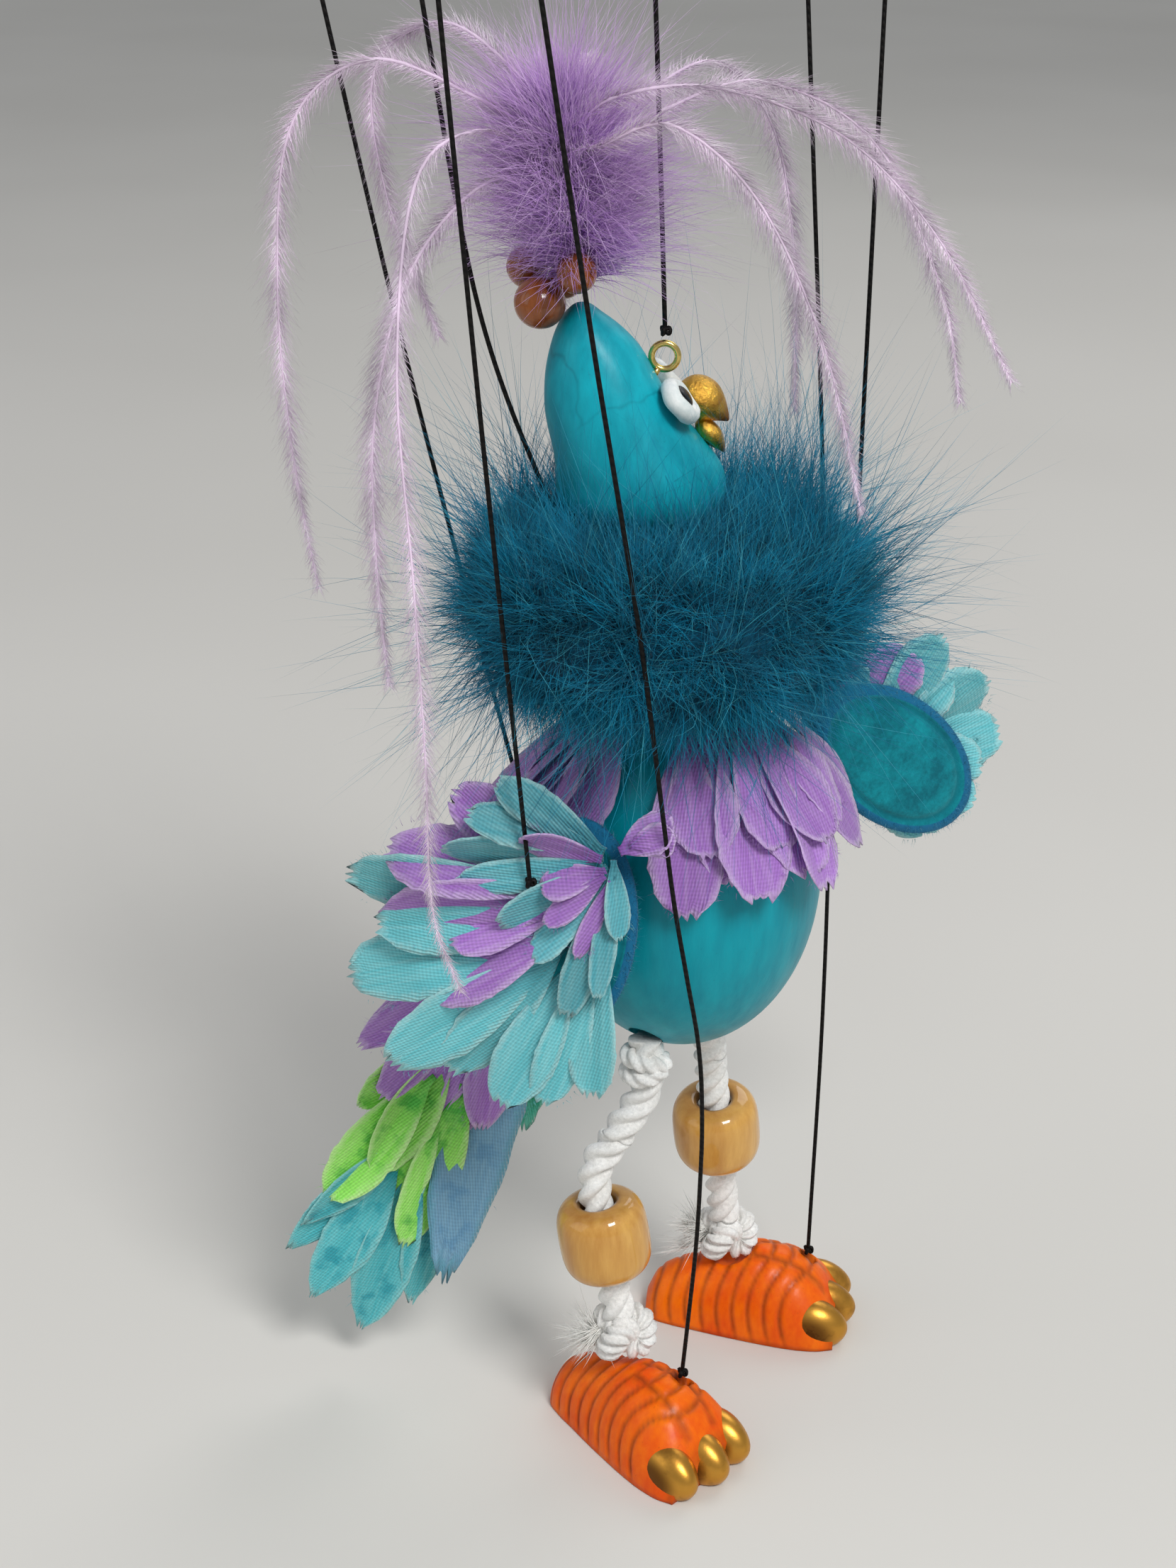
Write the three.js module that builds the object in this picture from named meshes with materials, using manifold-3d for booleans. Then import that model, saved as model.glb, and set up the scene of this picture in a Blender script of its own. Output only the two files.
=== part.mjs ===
// A hand-made bird puppet on seven threads: a painted egg body, a turquoise head with a feather
// plume, a feather boa collar, silk-petal skirt, wings and tail, and rope legs with wooden beads
// and ribbed orange feet. Millimetres, +Z up. The bird faces +X and its left side is +Y.
import * as THREE from "three";
import { mergeVertices } from "three/addons/utils/BufferGeometryUtils.js";
import Module from "manifold-3d";

const wasm = await Module();
wasm.setup();

// ---------------------------------------------------------------- driving dimensions
// Heights are above the soles. The finished group is lowered so that the thread tops are the origin.
const hangHeight = 312; // soles to the tops of the threads
const gap = 0.4; // air between pieces that touch or turn

const bodyCentre = 129;
const bodyRadius = 28.5;
const bodyHalfHeight = 39.5;
const bodyWall = 2.6;

const ropeRadius = 3.1;
const beadRadius = 9.7;
const beadLength = 17.5;
const beadPlay = 0.7; // air round the rope inside a bead
const knotRadius = 6.2;
const hipKnotRadius = 4.6;
const hipKnotShape = [1.15, 1, 0.7]; // shares of its radius across, along and up
const stopperRadii = [5.5, 5.5, 4.2]; // the knot inside the body that holds each leg
const stopperRise = 8; // from the body's inner skin up to that knot's rope end
const neckStopperRadii = [6.5, 6.5, 4.5];
const neckStopperDepth = 13; // from the top of the body

const footLength = 48.5;
const footWidth = 26.5;
const footHump = 19; // highest point of the instep
const ankleFromHeel = 18;

const threadRadius = 0.45;
const tieRadius = 1.3; // the knot at each end of a thread
const holeRadius = 2.1; // the hole in each instep
const eyeletRing = 2.5; // screw eye ring, centre of the wire
const eyeletWire = 0.65;

const hipDrop = 11.8; // from the body's skin down to each hip
const bodyTop = bodyCentre + bodyHalfHeight;
const neckBase = [-1.5, 0, bodyTop + 3];
const headPivot = [-9.2, 0, bodyTop + 36];
const headTurn = 36; // degrees the head looks to its left
const headScale = 1; // size of the head and what sits on it

const boaCentre = [-4, 0, bodyTop + 17.5];
const boaRingRadius = 30;
const boaThickness = 23; // across the ring
const boaHeight = 36;

const plumeRadius = 15;
const petalThickness = 0.9;
const skirtRadius = 17.5;
const skirtLift = 3.2; // from the body's skin up to the middle of the skirt's band
const skirtBand = 2.4; // across the band
const skirtDroop = 0.35; // radians that each skirt petal curls down along its length
const padLength = 46;
const padWidth = 27;
const padThickness = 4.6;
const wingLayer = petalThickness + gap; // from one layer of wing petals to the next

const wingStandOff = { right: 3, left: 0.8 }; // from the body's widest circle to each wing's root
const leftWingAzimuth = 56.9; // degrees from the breast to the far wing's root
const tailRoot = [-(bodyRadius + 3), -2, 125];
const tailStripLength = 76;
const slateLeafLength = 98;
const greenLeafLength = 64;

// ---------------------------------------------------------------- colours
const colours = {
  turquoise: [0x12a0b0, 0.45],
  teal: [0x04516b, 0.95],
  purple: [0xa173bf, 0.7],
  aqua: [0x6cc0c4, 0.7],
  lime: [0x7ecb3c, 0.7],
  slate: [0x56879a, 0.8],
  leafGreen: [0x3d9a80, 0.8],
  lilac: [0xcdbccb, 0.9],
  rope: [0xece9e2, 0.95],
  varnish: [0xc98f45, 0.25],
  amber: [0x8a4a1c, 0.35],
  orange: [0xd9480c, 0.5],
  clay: [0xe6e9e6, 0.6],
  gold: [0xc79a3e, 0.35, 1],
  brass: [0xc9a752, 0.3, 1],
  thread: [0x17130f, 0.8],
};

function material(name) {
  const [color, roughness, metalness = 0] = colours[name];
  return new THREE.MeshStandardMaterial({ color, roughness, metalness });
}

// ---------------------------------------------------------------- solids
const radians = THREE.MathUtils.degToRad;
const vector = (p) => new THREE.Vector3(...p);

// A closed geometry as a manifold-3d solid, which joins and cuts.
function solidOf(geometry) {
  const bare = geometry.clone();
  bare.deleteAttribute("normal");
  bare.deleteAttribute("uv");
  const merged = mergeVertices(bare, 1e-3);
  return new wasm.Manifold(
    new wasm.Mesh({
      numProp: 3,
      vertProperties: new Float32Array(merged.attributes.position.array),
      triVerts: new Uint32Array(merged.index.array),
    }),
  );
}

function geometryOf(solid) {
  const { vertProperties, triVerts } = solid.getMesh();
  const geometry = new THREE.BufferGeometry();
  geometry.setAttribute("position", new THREE.BufferAttribute(vertProperties, 3));
  geometry.setIndex(new THREE.BufferAttribute(triVerts, 1));
  geometry.computeVertexNormals();
  return geometry;
}

const join = (geometries) =>
  geometryOf(geometries.map(solidOf).reduce((whole, piece) => whole.add(piece)));

const cut = (geometry, tools) =>
  geometryOf(tools.map(solidOf).reduce((whole, tool) => whole.subtract(tool), solidOf(geometry)));

// Moves every vertex of a geometry through a function of its place.
function reshaped(geometry, place) {
  const position = geometry.attributes.position;
  for (let i = 0; i < position.count; i++) {
    const moved = place(new THREE.Vector3().fromBufferAttribute(position, i));
    position.setXYZ(i, moved.x, moved.y, moved.z);
  }
  return geometry;
}

function ellipsoid(centre, radii, around = 16, rings = 10) {
  return new THREE.SphereGeometry(1, around, rings)
    .rotateX(Math.PI / 2)
    .scale(...radii)
    .translate(...centre);
}

const ball = (centre, radius, around, rings) =>
  ellipsoid(centre, [radius, radius, radius], around, rings);

// A rod with round ends whose end centres are the two points given.
function rod(from, to, radius, sides = 8) {
  const span = vector(to).sub(vector(from));
  const turn = new THREE.Quaternion().setFromUnitVectors(
    new THREE.Vector3(0, 1, 0),
    span.clone().normalize(),
  );
  const middle = vector(from).add(vector(to)).multiplyScalar(0.5);
  return new THREE.CapsuleGeometry(radius, span.length(), 2, sides)
    .applyQuaternion(turn)
    .translate(...middle.toArray());
}

// A round tube of few sides along a smooth curve through the points.
function tube(points, radius, steps, sides = 8) {
  const corners = Array.from({ length: sides }, (_, i) => {
    const angle = (2 * Math.PI * i) / sides;
    return new THREE.Vector2(radius * Math.cos(angle), radius * Math.sin(angle));
  });
  return new THREE.ExtrudeGeometry(new THREE.Shape(corners), {
    steps,
    bevelEnabled: false,
    extrudePath: new THREE.CatmullRomCurve3(points.map(vector)),
  });
}

// A ring about +Z with an elliptical section.
function ring(centre, radius, across, high, around = 24, section = 12) {
  const profile = Array.from({ length: section + 1 }, (_, i) => {
    const angle = (2 * Math.PI * i) / section;
    return new THREE.Vector2(radius + (across / 2) * Math.cos(angle), (high / 2) * Math.sin(angle));
  });
  return new THREE.LatheGeometry(profile, around).rotateX(Math.PI / 2).translate(...centre);
}

// A closed skin through level rings. Each row gives [level, ...shape], and section turns a row and
// an angle into a point of the ring.
function lofted(rows, section, around = 18) {
  const last = rows.length - 1;
  return reshaped(new THREE.CylinderGeometry(1, 1, 1, around, last), (p) => {
    const row = rows[Math.round((p.y + 0.5) * last)];
    const size = Math.hypot(p.x, p.z);
    return section(row, Math.atan2(-p.z, p.x), size < 0.5 ? 0 : 1);
  });
}

// One silk petal: a thin leaf that starts at the origin, runs along +X and bends down to -Z.
function petal(length, width, droop = 0) {
  const bend = Math.max(droop, 1e-3);
  return reshaped(new THREE.SphereGeometry(1, 4, 6).rotateZ(-Math.PI / 2), (p) => {
    const along = (p.x + 1) / 2;
    const size = Math.hypot(p.y, p.z) || 1;
    const outline = Math.sin(Math.PI * along ** 0.8) ** 0.7 || 0;
    const side = (p.y / size) * (width / 2) * outline;
    const lift = (p.z / size) * (petalThickness / 2) * Math.min(1, 2 * outline);
    const angle = bend * along;
    return new THREE.Vector3(
      (length / bend) * Math.sin(angle) + lift * Math.sin(angle),
      side,
      (-length / bend) * (1 - Math.cos(angle)) + lift * Math.cos(angle),
    );
  });
}

// A petal laid flat, turned in its plane and moved: angle in degrees from +X towards +Y.
const laid = (length, width, x, y, z, angle) =>
  petal(length, width).rotateZ(radians(angle)).translate(x, y, z);

// A frame whose +X runs along and whose +Y lies nearest to across.
function frameOf(origin, along, across) {
  const x = vector(along).normalize();
  const z = x.clone().cross(vector(across)).normalize();
  const y = z.clone().cross(x);
  return new THREE.Matrix4().makeBasis(x, y, z).setPosition(vector(origin));
}

// ---------------------------------------------------------------- assembly
const puppet = new THREE.Group();
puppet.position.z = -hangHeight;

function add(name, geometry, colour, place) {
  const mesh = new THREE.Mesh(geometry, material(colour));
  mesh.name = name;
  if (place) mesh.applyMatrix4(place);
  puppet.add(mesh);
}

// A thread: a tie knot, the run, and the loop knot that the control bar holds.
function addThread(name, points, steps) {
  const [first, last] = [points[0], points[points.length - 1]];
  add(
    name,
    join([
      tube(points, threadRadius, steps),
      ball(first, tieRadius, 6, 4),
      ball(last, tieRadius, 6, 4),
    ]),
    "thread",
  );
}

const threadTop = (x, y) => [x, y, hangHeight - tieRadius];

// A screw eye: a ring on a stem, its ring plane along the given direction in plan.
function screwEye(centre, planeAngle, stemEnd) {
  const loop = new THREE.TorusGeometry(eyeletRing, eyeletWire, 6, 12)
    .rotateX(Math.PI / 2)
    .rotateZ(radians(planeAngle))
    .translate(...centre);
  const toEnd = vector(stemEnd).sub(vector(centre));
  const start = vector(centre).add(toEnd.clone().setLength(eyeletRing));
  return join([loop, rod(start.toArray(), stemEnd, eyeletWire, 6)]);
}

// ---------------------------------------------------------------- body
// How far the body's skin is above or below its middle, at a distance from its axis.
const skinRise = (distance) => bodyHalfHeight * Math.sqrt(Math.max(0, 1 - (distance / bodyRadius) ** 2));

const bodyBottom = bodyCentre - bodyHalfHeight;
const skirtHeight = bodyCentre + skinRise(skirtRadius - skirtBand / 2) + skirtLift;
const eyeletStand = 8.2; // from the body's skin up to the back screw eye's ring
const screwDrop = 11.6; // from the ring down to the screw's end inside the wall
const backEyelet = [-21.4, -4.2, bodyCentre + skinRise(Math.hypot(21.4, 4.2)) + eyeletStand];
const backScrewEnd = [-19.4, -3.8, backEyelet[2] - screwDrop];

const hipAt = (x, y) => [x, y, bodyCentre - skinRise(Math.hypot(x, y)) - hipDrop];

// Each leg's pivots, from the hip down to the middle of the ankle knot.
const legs = {
  right: {
    hip: hipAt(-0.5, -15.5),
    knee: [-9.5, -21, 61],
    ankle: [-3.5, -19.5, 24.5],
    heading: -18,
    beadDrop: 12.6, // from the knee down to the middle of the bead
    threadHole: [31.4, 4.6], // on the foot, from the heel
    thread: [[15, -22.5, 60], [17, -27.5, 100], [14.5, -35.5, 138], [10.8, -44.5, 196], [4, -50, 250]],
    threadEnd: [-3.5, -55],
  },
  left: {
    hip: hipAt(1, 14),
    knee: [-0.3, 18.8, 68.5],
    ankle: [0, 28.5, 21.5],
    heading: 18,
    beadDrop: 15,
    threadHole: [37, 3.5],
    thread: [[17, 40.5, 80], [15.5, 42, 140], [10.5, 46, 190], [7.5, 46.5, 230]],
    threadEnd: [2, 45],
  },
};

function addBody() {
  const outer = ellipsoid([0, 0, bodyCentre], [bodyRadius, bodyRadius, bodyHalfHeight], 24, 14);
  const inside = [bodyRadius - bodyWall, bodyRadius - bodyWall, bodyHalfHeight - bodyWall];
  const hollow = ellipsoid([0, 0, bodyCentre], inside, 18, 10);
  const hole = ropeRadius + gap;
  const hipHoles = Object.values(legs).map(({ hip: [x, y] }) =>
    rod([x, y, bodyBottom - 4], [x, y, bodyCentre - 12], hole, 12),
  );
  const neckHole = rod([neckBase[0], 0, bodyTop - 8], [neckBase[0], 0, bodyTop + 4], hole, 12);
  const screwHole = rod(backEyelet, backScrewEnd, eyeletWire + gap, 8);
  add("body_shell", cut(outer, [hollow, ...hipHoles, neckHole, screwHole]), "turquoise");
}

function addNeckPlug() {
  const [x, y, top] = neckBase;
  const end = top - 2 * ropeRadius - gap;
  const low = bodyTop - neckStopperDepth;
  const stopper = ellipsoid([x, y, low], neckStopperRadii, 10, 6);
  add("neck_stopper_knot", join([stopper, rod([x, y, low + 1], [x, y, end], ropeRadius)]), "rope");
}

function addHipRope(side) {
  const [x, y, z] = legs[side].hip;
  const knotRadii = hipKnotShape.map((share) => share * hipKnotRadius);
  const seat = z + ropeRadius + gap + knotRadii[2];
  const inner = z + hipDrop + bodyWall + stopperRise;
  add(
    side + "_hip_rope",
    join([
      rod([x, y, seat], [x, y, inner], ropeRadius),
      ellipsoid([x, y, seat], knotRadii, 10, 6),
      ellipsoid([x, y, inner + stopperRadii[2]], stopperRadii, 10, 6),
    ]),
    "rope",
  );
}

// How steeply the body's skin falls away below the skirt, in degrees.
const skinSlope = THREE.MathUtils.radToDeg(
  Math.atan2(skinRise(skirtRadius) - skinRise(skirtRadius + 10), 10),
);

// Petals round the top of the body: [azimuth, length, width, degrees that it stands off the skin]
const skirtPetals = [
  [-146, 32, 12, 26], [-133, 35, 12, 22], [-120, 32, 12, 18], [-66, 34, 11, 14],
  [-46, 33, 13, 16], [-27, 31, 11, 18], [-8, 36, 12, 20], [8, 32, 12, 20],
  [92, 33, 12, 18], [112, 34, 12, 18], [131, 32, 12, 18], [150, 34, 12, 18], [169, 32, 12, 20],
];

function addSkirt() {
  const petals = skirtPetals.map(([azimuth, length, width, standOff]) =>
    petal(length, width, skirtDroop)
      .rotateY(radians(skinSlope - standOff))
      .translate(skirtRadius - 1, 0, skirtHeight)
      .rotateZ(radians(azimuth)),
  );
  const band = ring([0, 0, skirtHeight], skirtRadius, skirtBand, 3, 20, 6);
  add("skirt_petals", join([band, ...petals]), "purple");
}

// ---------------------------------------------------------------- head
// Rows of the head's outline: height above the pivot, back, front and half width, along the gaze.
const headRows = [
  [-3.5, -9, 8, 8.5], [-1.5, -14, 13, 13], [2, -16.8, 15.8, 15.5], [7, -17.4, 14.8, 15.4],
  [11, -18, 12, 14.6], [15.5, -18.7, 8.6, 13.6], [21, -19.2, 4.6, 12.2], [26, -19.1, 1.6, 10.6],
  [30.5, -18.2, -1, 8.8], [34.5, -17, -4.6, 6.6], [37.5, -15.4, -8.4, 4], [39.2, -13.4, -10.8, 1.4],
];

const headFrame = new THREE.Matrix4()
  .makeTranslation(...headPivot)
  .multiply(new THREE.Matrix4().makeRotationZ(radians(headTurn)))
  .multiply(new THREE.Matrix4().makeScale(headScale, headScale, headScale));

function addHead() {
  const shell = lofted(headRows, ([height, back, front, half], angle, size) => {
    const middle = (back + front) / 2;
    const reach = (front - back) / 2;
    return new THREE.Vector3(
      middle + size * reach * Math.cos(angle),
      size * half * Math.sin(angle),
      height,
    );
  });
  const socket = ball([0, 0, 0], ropeRadius + gap, 12, 8);
  const flare = new THREE.CylinderGeometry(ropeRadius + gap, 8, 9, 12)
    .rotateX(Math.PI / 2)
    .translate(0, 0, -4.5);
  const screwHole = rod(headEyelet, headScrewEnd, eyeletWire + 2 * gap, 8);
  add("head_shell", cut(shell, [socket, flare, screwHole]), "turquoise", headFrame);
}

// A flat round eye of clay, leaning on the brow.
function addEye(name, side) {
  const eye = new THREE.CylinderGeometry(4.9, 4.6, 3.4, 18)
    .rotateZ(-Math.PI / 2)
    .rotateY(radians(-38))
    .rotateZ(radians(-side * 34))
    .translate(4.9, side * -8.2, 22);
  add(name, eye, "clay", headFrame);
}

// Half of the open beak: a rounded cone from the face to its tip.
function beakHalf(base, tip, wide, high) {
  const toTip = vector(tip).sub(vector(base));
  const turn = new THREE.Quaternion().setFromUnitVectors(
    new THREE.Vector3(1, 0, 0),
    toTip.clone().normalize(),
  );
  return reshaped(new THREE.SphereGeometry(1, 12, 8).rotateZ(-Math.PI / 2), (p) => {
    const taper = 0.62 - 0.38 * p.x;
    return new THREE.Vector3(
      (toTip.length() / 2) * (p.x + 1),
      (wide / 2) * p.y * taper,
      (high / 2) * p.z * taper,
    );
  })
    .applyQuaternion(turn)
    .translate(...base);
}

function addBeak() {
  add("beak_upper", beakHalf([6.8, 0, 22.5], [16.8, 0, 17.3], 12, 11), "gold", headFrame);
  add("beak_lower", beakHalf([11.6, 0, 15.2], [16.4, 0, 9.8], 8, 5), "gold", headFrame);
}

const headEyelet = [3.4, -1, 28.8];
const headScrewEnd = [-1.6, -1, 20];

function addHeadEyelet() {
  add("head_screw_eye", screwEye(headEyelet, -12, headScrewEnd), "brass", headFrame);
}

// Wooden beads round the foot of the plume: place on the head and radius
const crestBeads = [
  [[-20.4, -1.6, 40], 4.9],
  [[-14.3, -6.8, 46.4], 3.8],
  [[-14.2, 7.6, 42], 3.6],
  [[-21.5, 6.6, 45], 4.1],
];

function addCrest() {
  crestBeads.forEach(([place, radius], i) =>
    add(`crest_bead_${i + 1}`, ball(place, radius, 10, 7), "amber", headFrame),
  );
}

// ---------------------------------------------------------------- plume
// The plume's points are given above the soles for a head that pivots at plumeDatum, and
// plumeFrame carries them to where the head is.
const plumeDatum = [-9.2, 0, 204.5];
const plumeFoot = [-19.2, -7, 246.3];
const plumeCentre = [-22, -9, 271];
const plumeFrame = new THREE.Matrix4()
  .makeTranslation(...headPivot)
  .multiply(new THREE.Matrix4().makeScale(headScale, headScale, headScale))
  .multiply(new THREE.Matrix4().makeTranslation(...plumeDatum.map((value) => -value)));

// Long feather shafts: the points of each, from the plume outwards
const strands = [
  [[-34, -20, 282], [-52, -26, 288], [-66, -31, 276], [-70, -32, 246], [-69, -31, 214], [-66, -29, 187]],
  [[-31, -10, 285], [-46, -10, 293], [-60, -11, 284], [-58, -12, 262], [-46, -14, 236]],
  [[-31, -26, 277], [-34, -42, 270], [-31, -55, 240], [-26, -60, 204], [-24, -61, 170],
    [-24, -60, 140], [-20, -57, 122]],
  [[-34, -23, 265], [-42, -33, 250], [-44, -42, 226], [-42, -46, 200], [-39, -48, 178]],
  [[-11, -13, 282], [6, -4, 284], [26, 8, 275], [42, 17, 256], [55, 24, 230]],
  [[-10, -18, 275], [3, -16, 279], [17, -10, 266], [28, -4, 240], [35, 1, 208]],
  [[-8, 1, 278], [7, 13, 283], [26, 23, 272], [38, 31, 244], [42, 34, 222]],
  [[-26, 6, 276], [-34, 24, 284], [-44, 38, 272], [-50, 45, 244], [-50, 47, 214]],
  [[-16, 6, 278], [-8, 26, 284], [-2, 42, 270], [0, 51, 242], [0, 54, 210]],
];
const shaftRadius = 1.1;

function addPlume() {
  const stem = rod(plumeFoot, plumeCentre, 2, 8);
  const tuft = ellipsoid(plumeCentre, [plumeRadius, plumeRadius, plumeRadius * 0.95], 12, 8);
  add("plume_tuft", join([stem, tuft]), "lilac", plumeFrame);
  strands.forEach((points, i) =>
    add(`plume_strand_${i + 1}`, tube(points, shaftRadius, 2 * points.length, 5), "lilac", plumeFrame),
  );
}

// ---------------------------------------------------------------- wings
// Layers of petals on a wing, nearest the pad first: colour and [x, y, angle, length, width] of each.
const wingLayers = [
  ["light_petals", "aqua", [
    [20, 12, 84, 42, 13], [26, 12, 64, 45, 14], [30, 11, 44, 43, 13], [32, 7, 18, 36, 11],
    [30, 0, -4, 30, 9]]],
  ["purple_petals", "purple", [
    [16, 8, 92, 38, 13], [18, 8, 72, 40, 13], [21, 8, 50, 35, 12]]],
  ["small_petals", "slate", [
    [10, 4, 90, 30, 8], [12, 4, 52, 26, 8], [14, 3, 22, 30, 8], [9, -2, -16, 20, 9]]],
];

const wings = {
  right: {
    root: [0.5, -(bodyRadius + wingStandOff.right), 151],
    along: [-0.06, -0.16, -0.98],
    across: [-0.96, -0.26, 0.08],
    tie: [12, 14],
    top: [-20, -58],
    petalShare: 1,
  },
  left: {
    root: [
      (bodyRadius + wingStandOff.left) * Math.cos(radians(leftWingAzimuth)),
      (bodyRadius + wingStandOff.left) * Math.sin(radians(leftWingAzimuth)),
      152,
    ],
    along: [0.5, 0.56, -0.66],
    across: [0.42, 0.57, 0.7],
    tie: [12, 9],
    top: [20, 42],
    petalShare: 0.58, // the far wing's petals are cut shorter
  },
};

const wingOuter = -(padThickness / 2 + gap + petalThickness / 2);
const tieDepth = wingOuter - 2 * wingLayer - petalThickness / 2 - gap - tieRadius;

// A wing's thread ties in front of its petals.
const wingTie = ({ root, along, across, tie: [x, y] }) =>
  new THREE.Vector3(x, y, tieDepth).applyMatrix4(frameOf(root, along, across)).toArray();

function addWing(side) {
  const { root, along, across, top, petalShare } = wings[side];
  const place = frameOf(root, along, across);
  const pad = new THREE.SphereGeometry(1, 14, 10)
    .scale(padLength / 2, padWidth / 2, padThickness / 2)
    .translate(padLength / 2, padWidth / 4, 0);
  add(side + "_wing_pad", pad, "turquoise", place);
  wingLayers.forEach(([name, colour, petals], level) => {
    const z = wingOuter - level * wingLayer;
    const centre = petals.reduce((sum, [x, y]) => [sum[0] + x, sum[1] + y], [0, 0]);
    const middle = centre.map((value) => value / petals.length);
    const seat = ellipsoid([middle[0], middle[1], z], [13, 9, petalThickness / 2], 10, 6);
    const leaves = petals.map(([x, y, angle, length, width]) =>
      laid(length * petalShare, width, x - 4, y - 3, z, angle),
    );
    add(`${side}_wing_${name}`, join([seat, ...leaves]), colour, place);
  });
  const tie = wingTie(wings[side]);
  const [dx, dy] = [top[0] - tie[0], top[1] - tie[1]];
  const middle = [tie[0] + dx * 0.45, tie[1] + dy * 0.6, (tie[2] + hangHeight) / 2];
  addThread(side + "_wing_thread", [tie, middle, threadTop(...top)], 5);
}

// ---------------------------------------------------------------- tail
const tailAlong = [-0.3, -0.24, -0.92];
const tailAcross = [-0.8, -0.5, 0.3];
const leafTurn = 9; // degrees the two felt leaves swing away from the petals

// Tiers of tail petals, highest first: [x, y, angle, length, width] of each
const tailTiers = [
  ["tail_purple_petals", "purple", [
    [24, 3, 34, 32, 9], [26, 2, 20, 36, 10], [28, 0, 8, 36, 11], [28, -4, -8, 34, 11]]],
  ["tail_lime_petals", "lime", [[48, 2, 16, 34, 12], [54, 4, 22, 36, 12], [52, -4, 0, 38, 12]]],
  ["tail_turquoise_petals", "aqua", [
    [72, 5, 18, 36, 9], [76, 3, 10, 40, 12], [76, -2, 0, 42, 13], [72, -6, -8, 40, 11]]],
];
const tailTie = [-37.5, 8, 118.5];

function addTail() {
  const place = frameOf(tailRoot, tailAlong, tailAcross);
  const layer = petalThickness + gap;
  const half = tailStripLength / 2;
  const strip = ellipsoid([half, 0, 0], [half, 4.5, petalThickness / 2], 12, 6);
  const tab = rod([3, 0, 0], [6, 0, 0], 1.6, 8);
  add("tail_backing", join([strip, tab]), "turquoise", place);
  tailTiers.forEach(([name, colour, petals], level) => {
    const z = -(tailTiers.length - level) * layer;
    const [x, y] = petals[1];
    const seat = ellipsoid([x + 3, y, z], [8, 5, petalThickness / 2], 10, 6);
    const leaves = petals.map(([px, py, angle, length, width]) => laid(length, width, px, py, z, angle));
    add(name, join([seat, ...leaves]), colour, place);
  });
  add("tail_slate_leaf", laid(slateLeafLength, 15, 2, -1, 1.6 * layer, -leafTurn), "slate", place);
  add("tail_green_leaf", laid(greenLeafLength, 14, 2, -2, 3 * layer, -2 * leafTurn), "leafGreen", place);
  addThread("tail_thread", [tailTie, [-60, -0.6, 222], threadTop(-77, -7)], 6);
}

// ---------------------------------------------------------------- legs and feet
// Rows of the foot: share of the length from the heel, share of the width and height.
const footRows = [
  [0, 0.3, 4], [0.04, 0.46, 8.5], [0.12, 0.58, 12], [0.24, 0.68, 14.5], [0.36, 0.78, 16.5],
  [0.5, 0.88, footHump], [0.63, 0.96, 18.4], [0.75, 1, 16], [0.84, 0.98, 12], [0.91, 0.9, 7],
];
const toeSpread = 7.8;
const toeRadii = [8.4, 4.7, 6];
const toeLift = 3.6; // middle of a toe above the ground
const toeSplay = 5; // degrees that each outer toe turns out
const outerToeSetback = 1.4; // how far each outer toe stops behind the middle one

// The height of the instep over a point on the foot.
function instepHeight([along, aside]) {
  const share = along / footLength;
  const next = footRows.findIndex(([level]) => level > share);
  const [before, after] = [footRows[next - 1], footRows[next]];
  const mix = (share - before[0]) / (after[0] - before[0]);
  const [half, high] = [1, 2].map((k) => before[k] + mix * (after[k] - before[k]));
  return high * Math.sqrt(1 - (aside / ((half * footWidth) / 2)) ** 2);
}

// A foot with its heel at the origin, running along +X on the ground.
function footShape() {
  const instep = lofted(footRows, ([share, wide, high], angle, size) => {
    const up = Math.sin(angle);
    return new THREE.Vector3(
      share * footLength,
      (size * footWidth * wide * Math.cos(angle)) / 2,
      size * Math.max(0, up) * high,
    );
  });
  const toes = [-1, 0, 1].map((side) =>
    reshaped(ellipsoid([0, 0, toeLift], toeRadii, 12, 8), (p) => p.setZ(Math.max(0, p.z)))
      .rotateZ(radians(side * toeSplay))
      .translate(footLength - toeRadii[0] - (side ? outerToeSetback : 0), side * toeSpread, 0),
  );
  return solidOf(join([instep, ...toes]));
}

// Puts a foot, made with its heel at the origin, on the ground under its ankle.
function footPlace(side) {
  const { ankle, heading } = legs[side];
  return new THREE.Matrix4()
    .makeTranslation(ankle[0], ankle[1], 0)
    .multiply(new THREE.Matrix4().makeRotationZ(radians(heading)))
    .multiply(new THREE.Matrix4().makeTranslation(-ankleFromHeel, 0, 0));
}

// A foot's thread is tied just above its hole in the instep.
function footTie(side) {
  const hole = legs[side].threadHole;
  return vector([...hole, instepHeight(hole) + tieRadius]).applyMatrix4(footPlace(side)).toArray();
}

function addFoot(side) {
  const { ankle, threadHole } = legs[side];
  const socket = ball([ankleFromHeel, 0, ankle[2]], knotRadius + 2 * gap, 14, 8);
  const mouth = new THREE.CylinderGeometry(knotRadius + 3, knotRadius * 0.9, 10, 16)
    .rotateX(Math.PI / 2)
    .translate(ankleFromHeel, 0, ankle[2] + 4);
  const holeDepth = instepHeight(threadHole) - 5;
  const hole = rod([...threadHole, holeDepth], [...threadHole, footHump + 5], holeRadius, 10);
  const foot = geometryOf(
    footShape().subtract(solidOf(socket)).subtract(solidOf(mouth)).subtract(solidOf(hole)),
  );
  add(side + "_foot", foot, "orange", footPlace(side));
}

// The point at a distance from one point towards another.
function towards(from, to, distance) {
  const step = vector(to).sub(vector(from)).setLength(distance);
  return vector(from).add(step).toArray();
}

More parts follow.
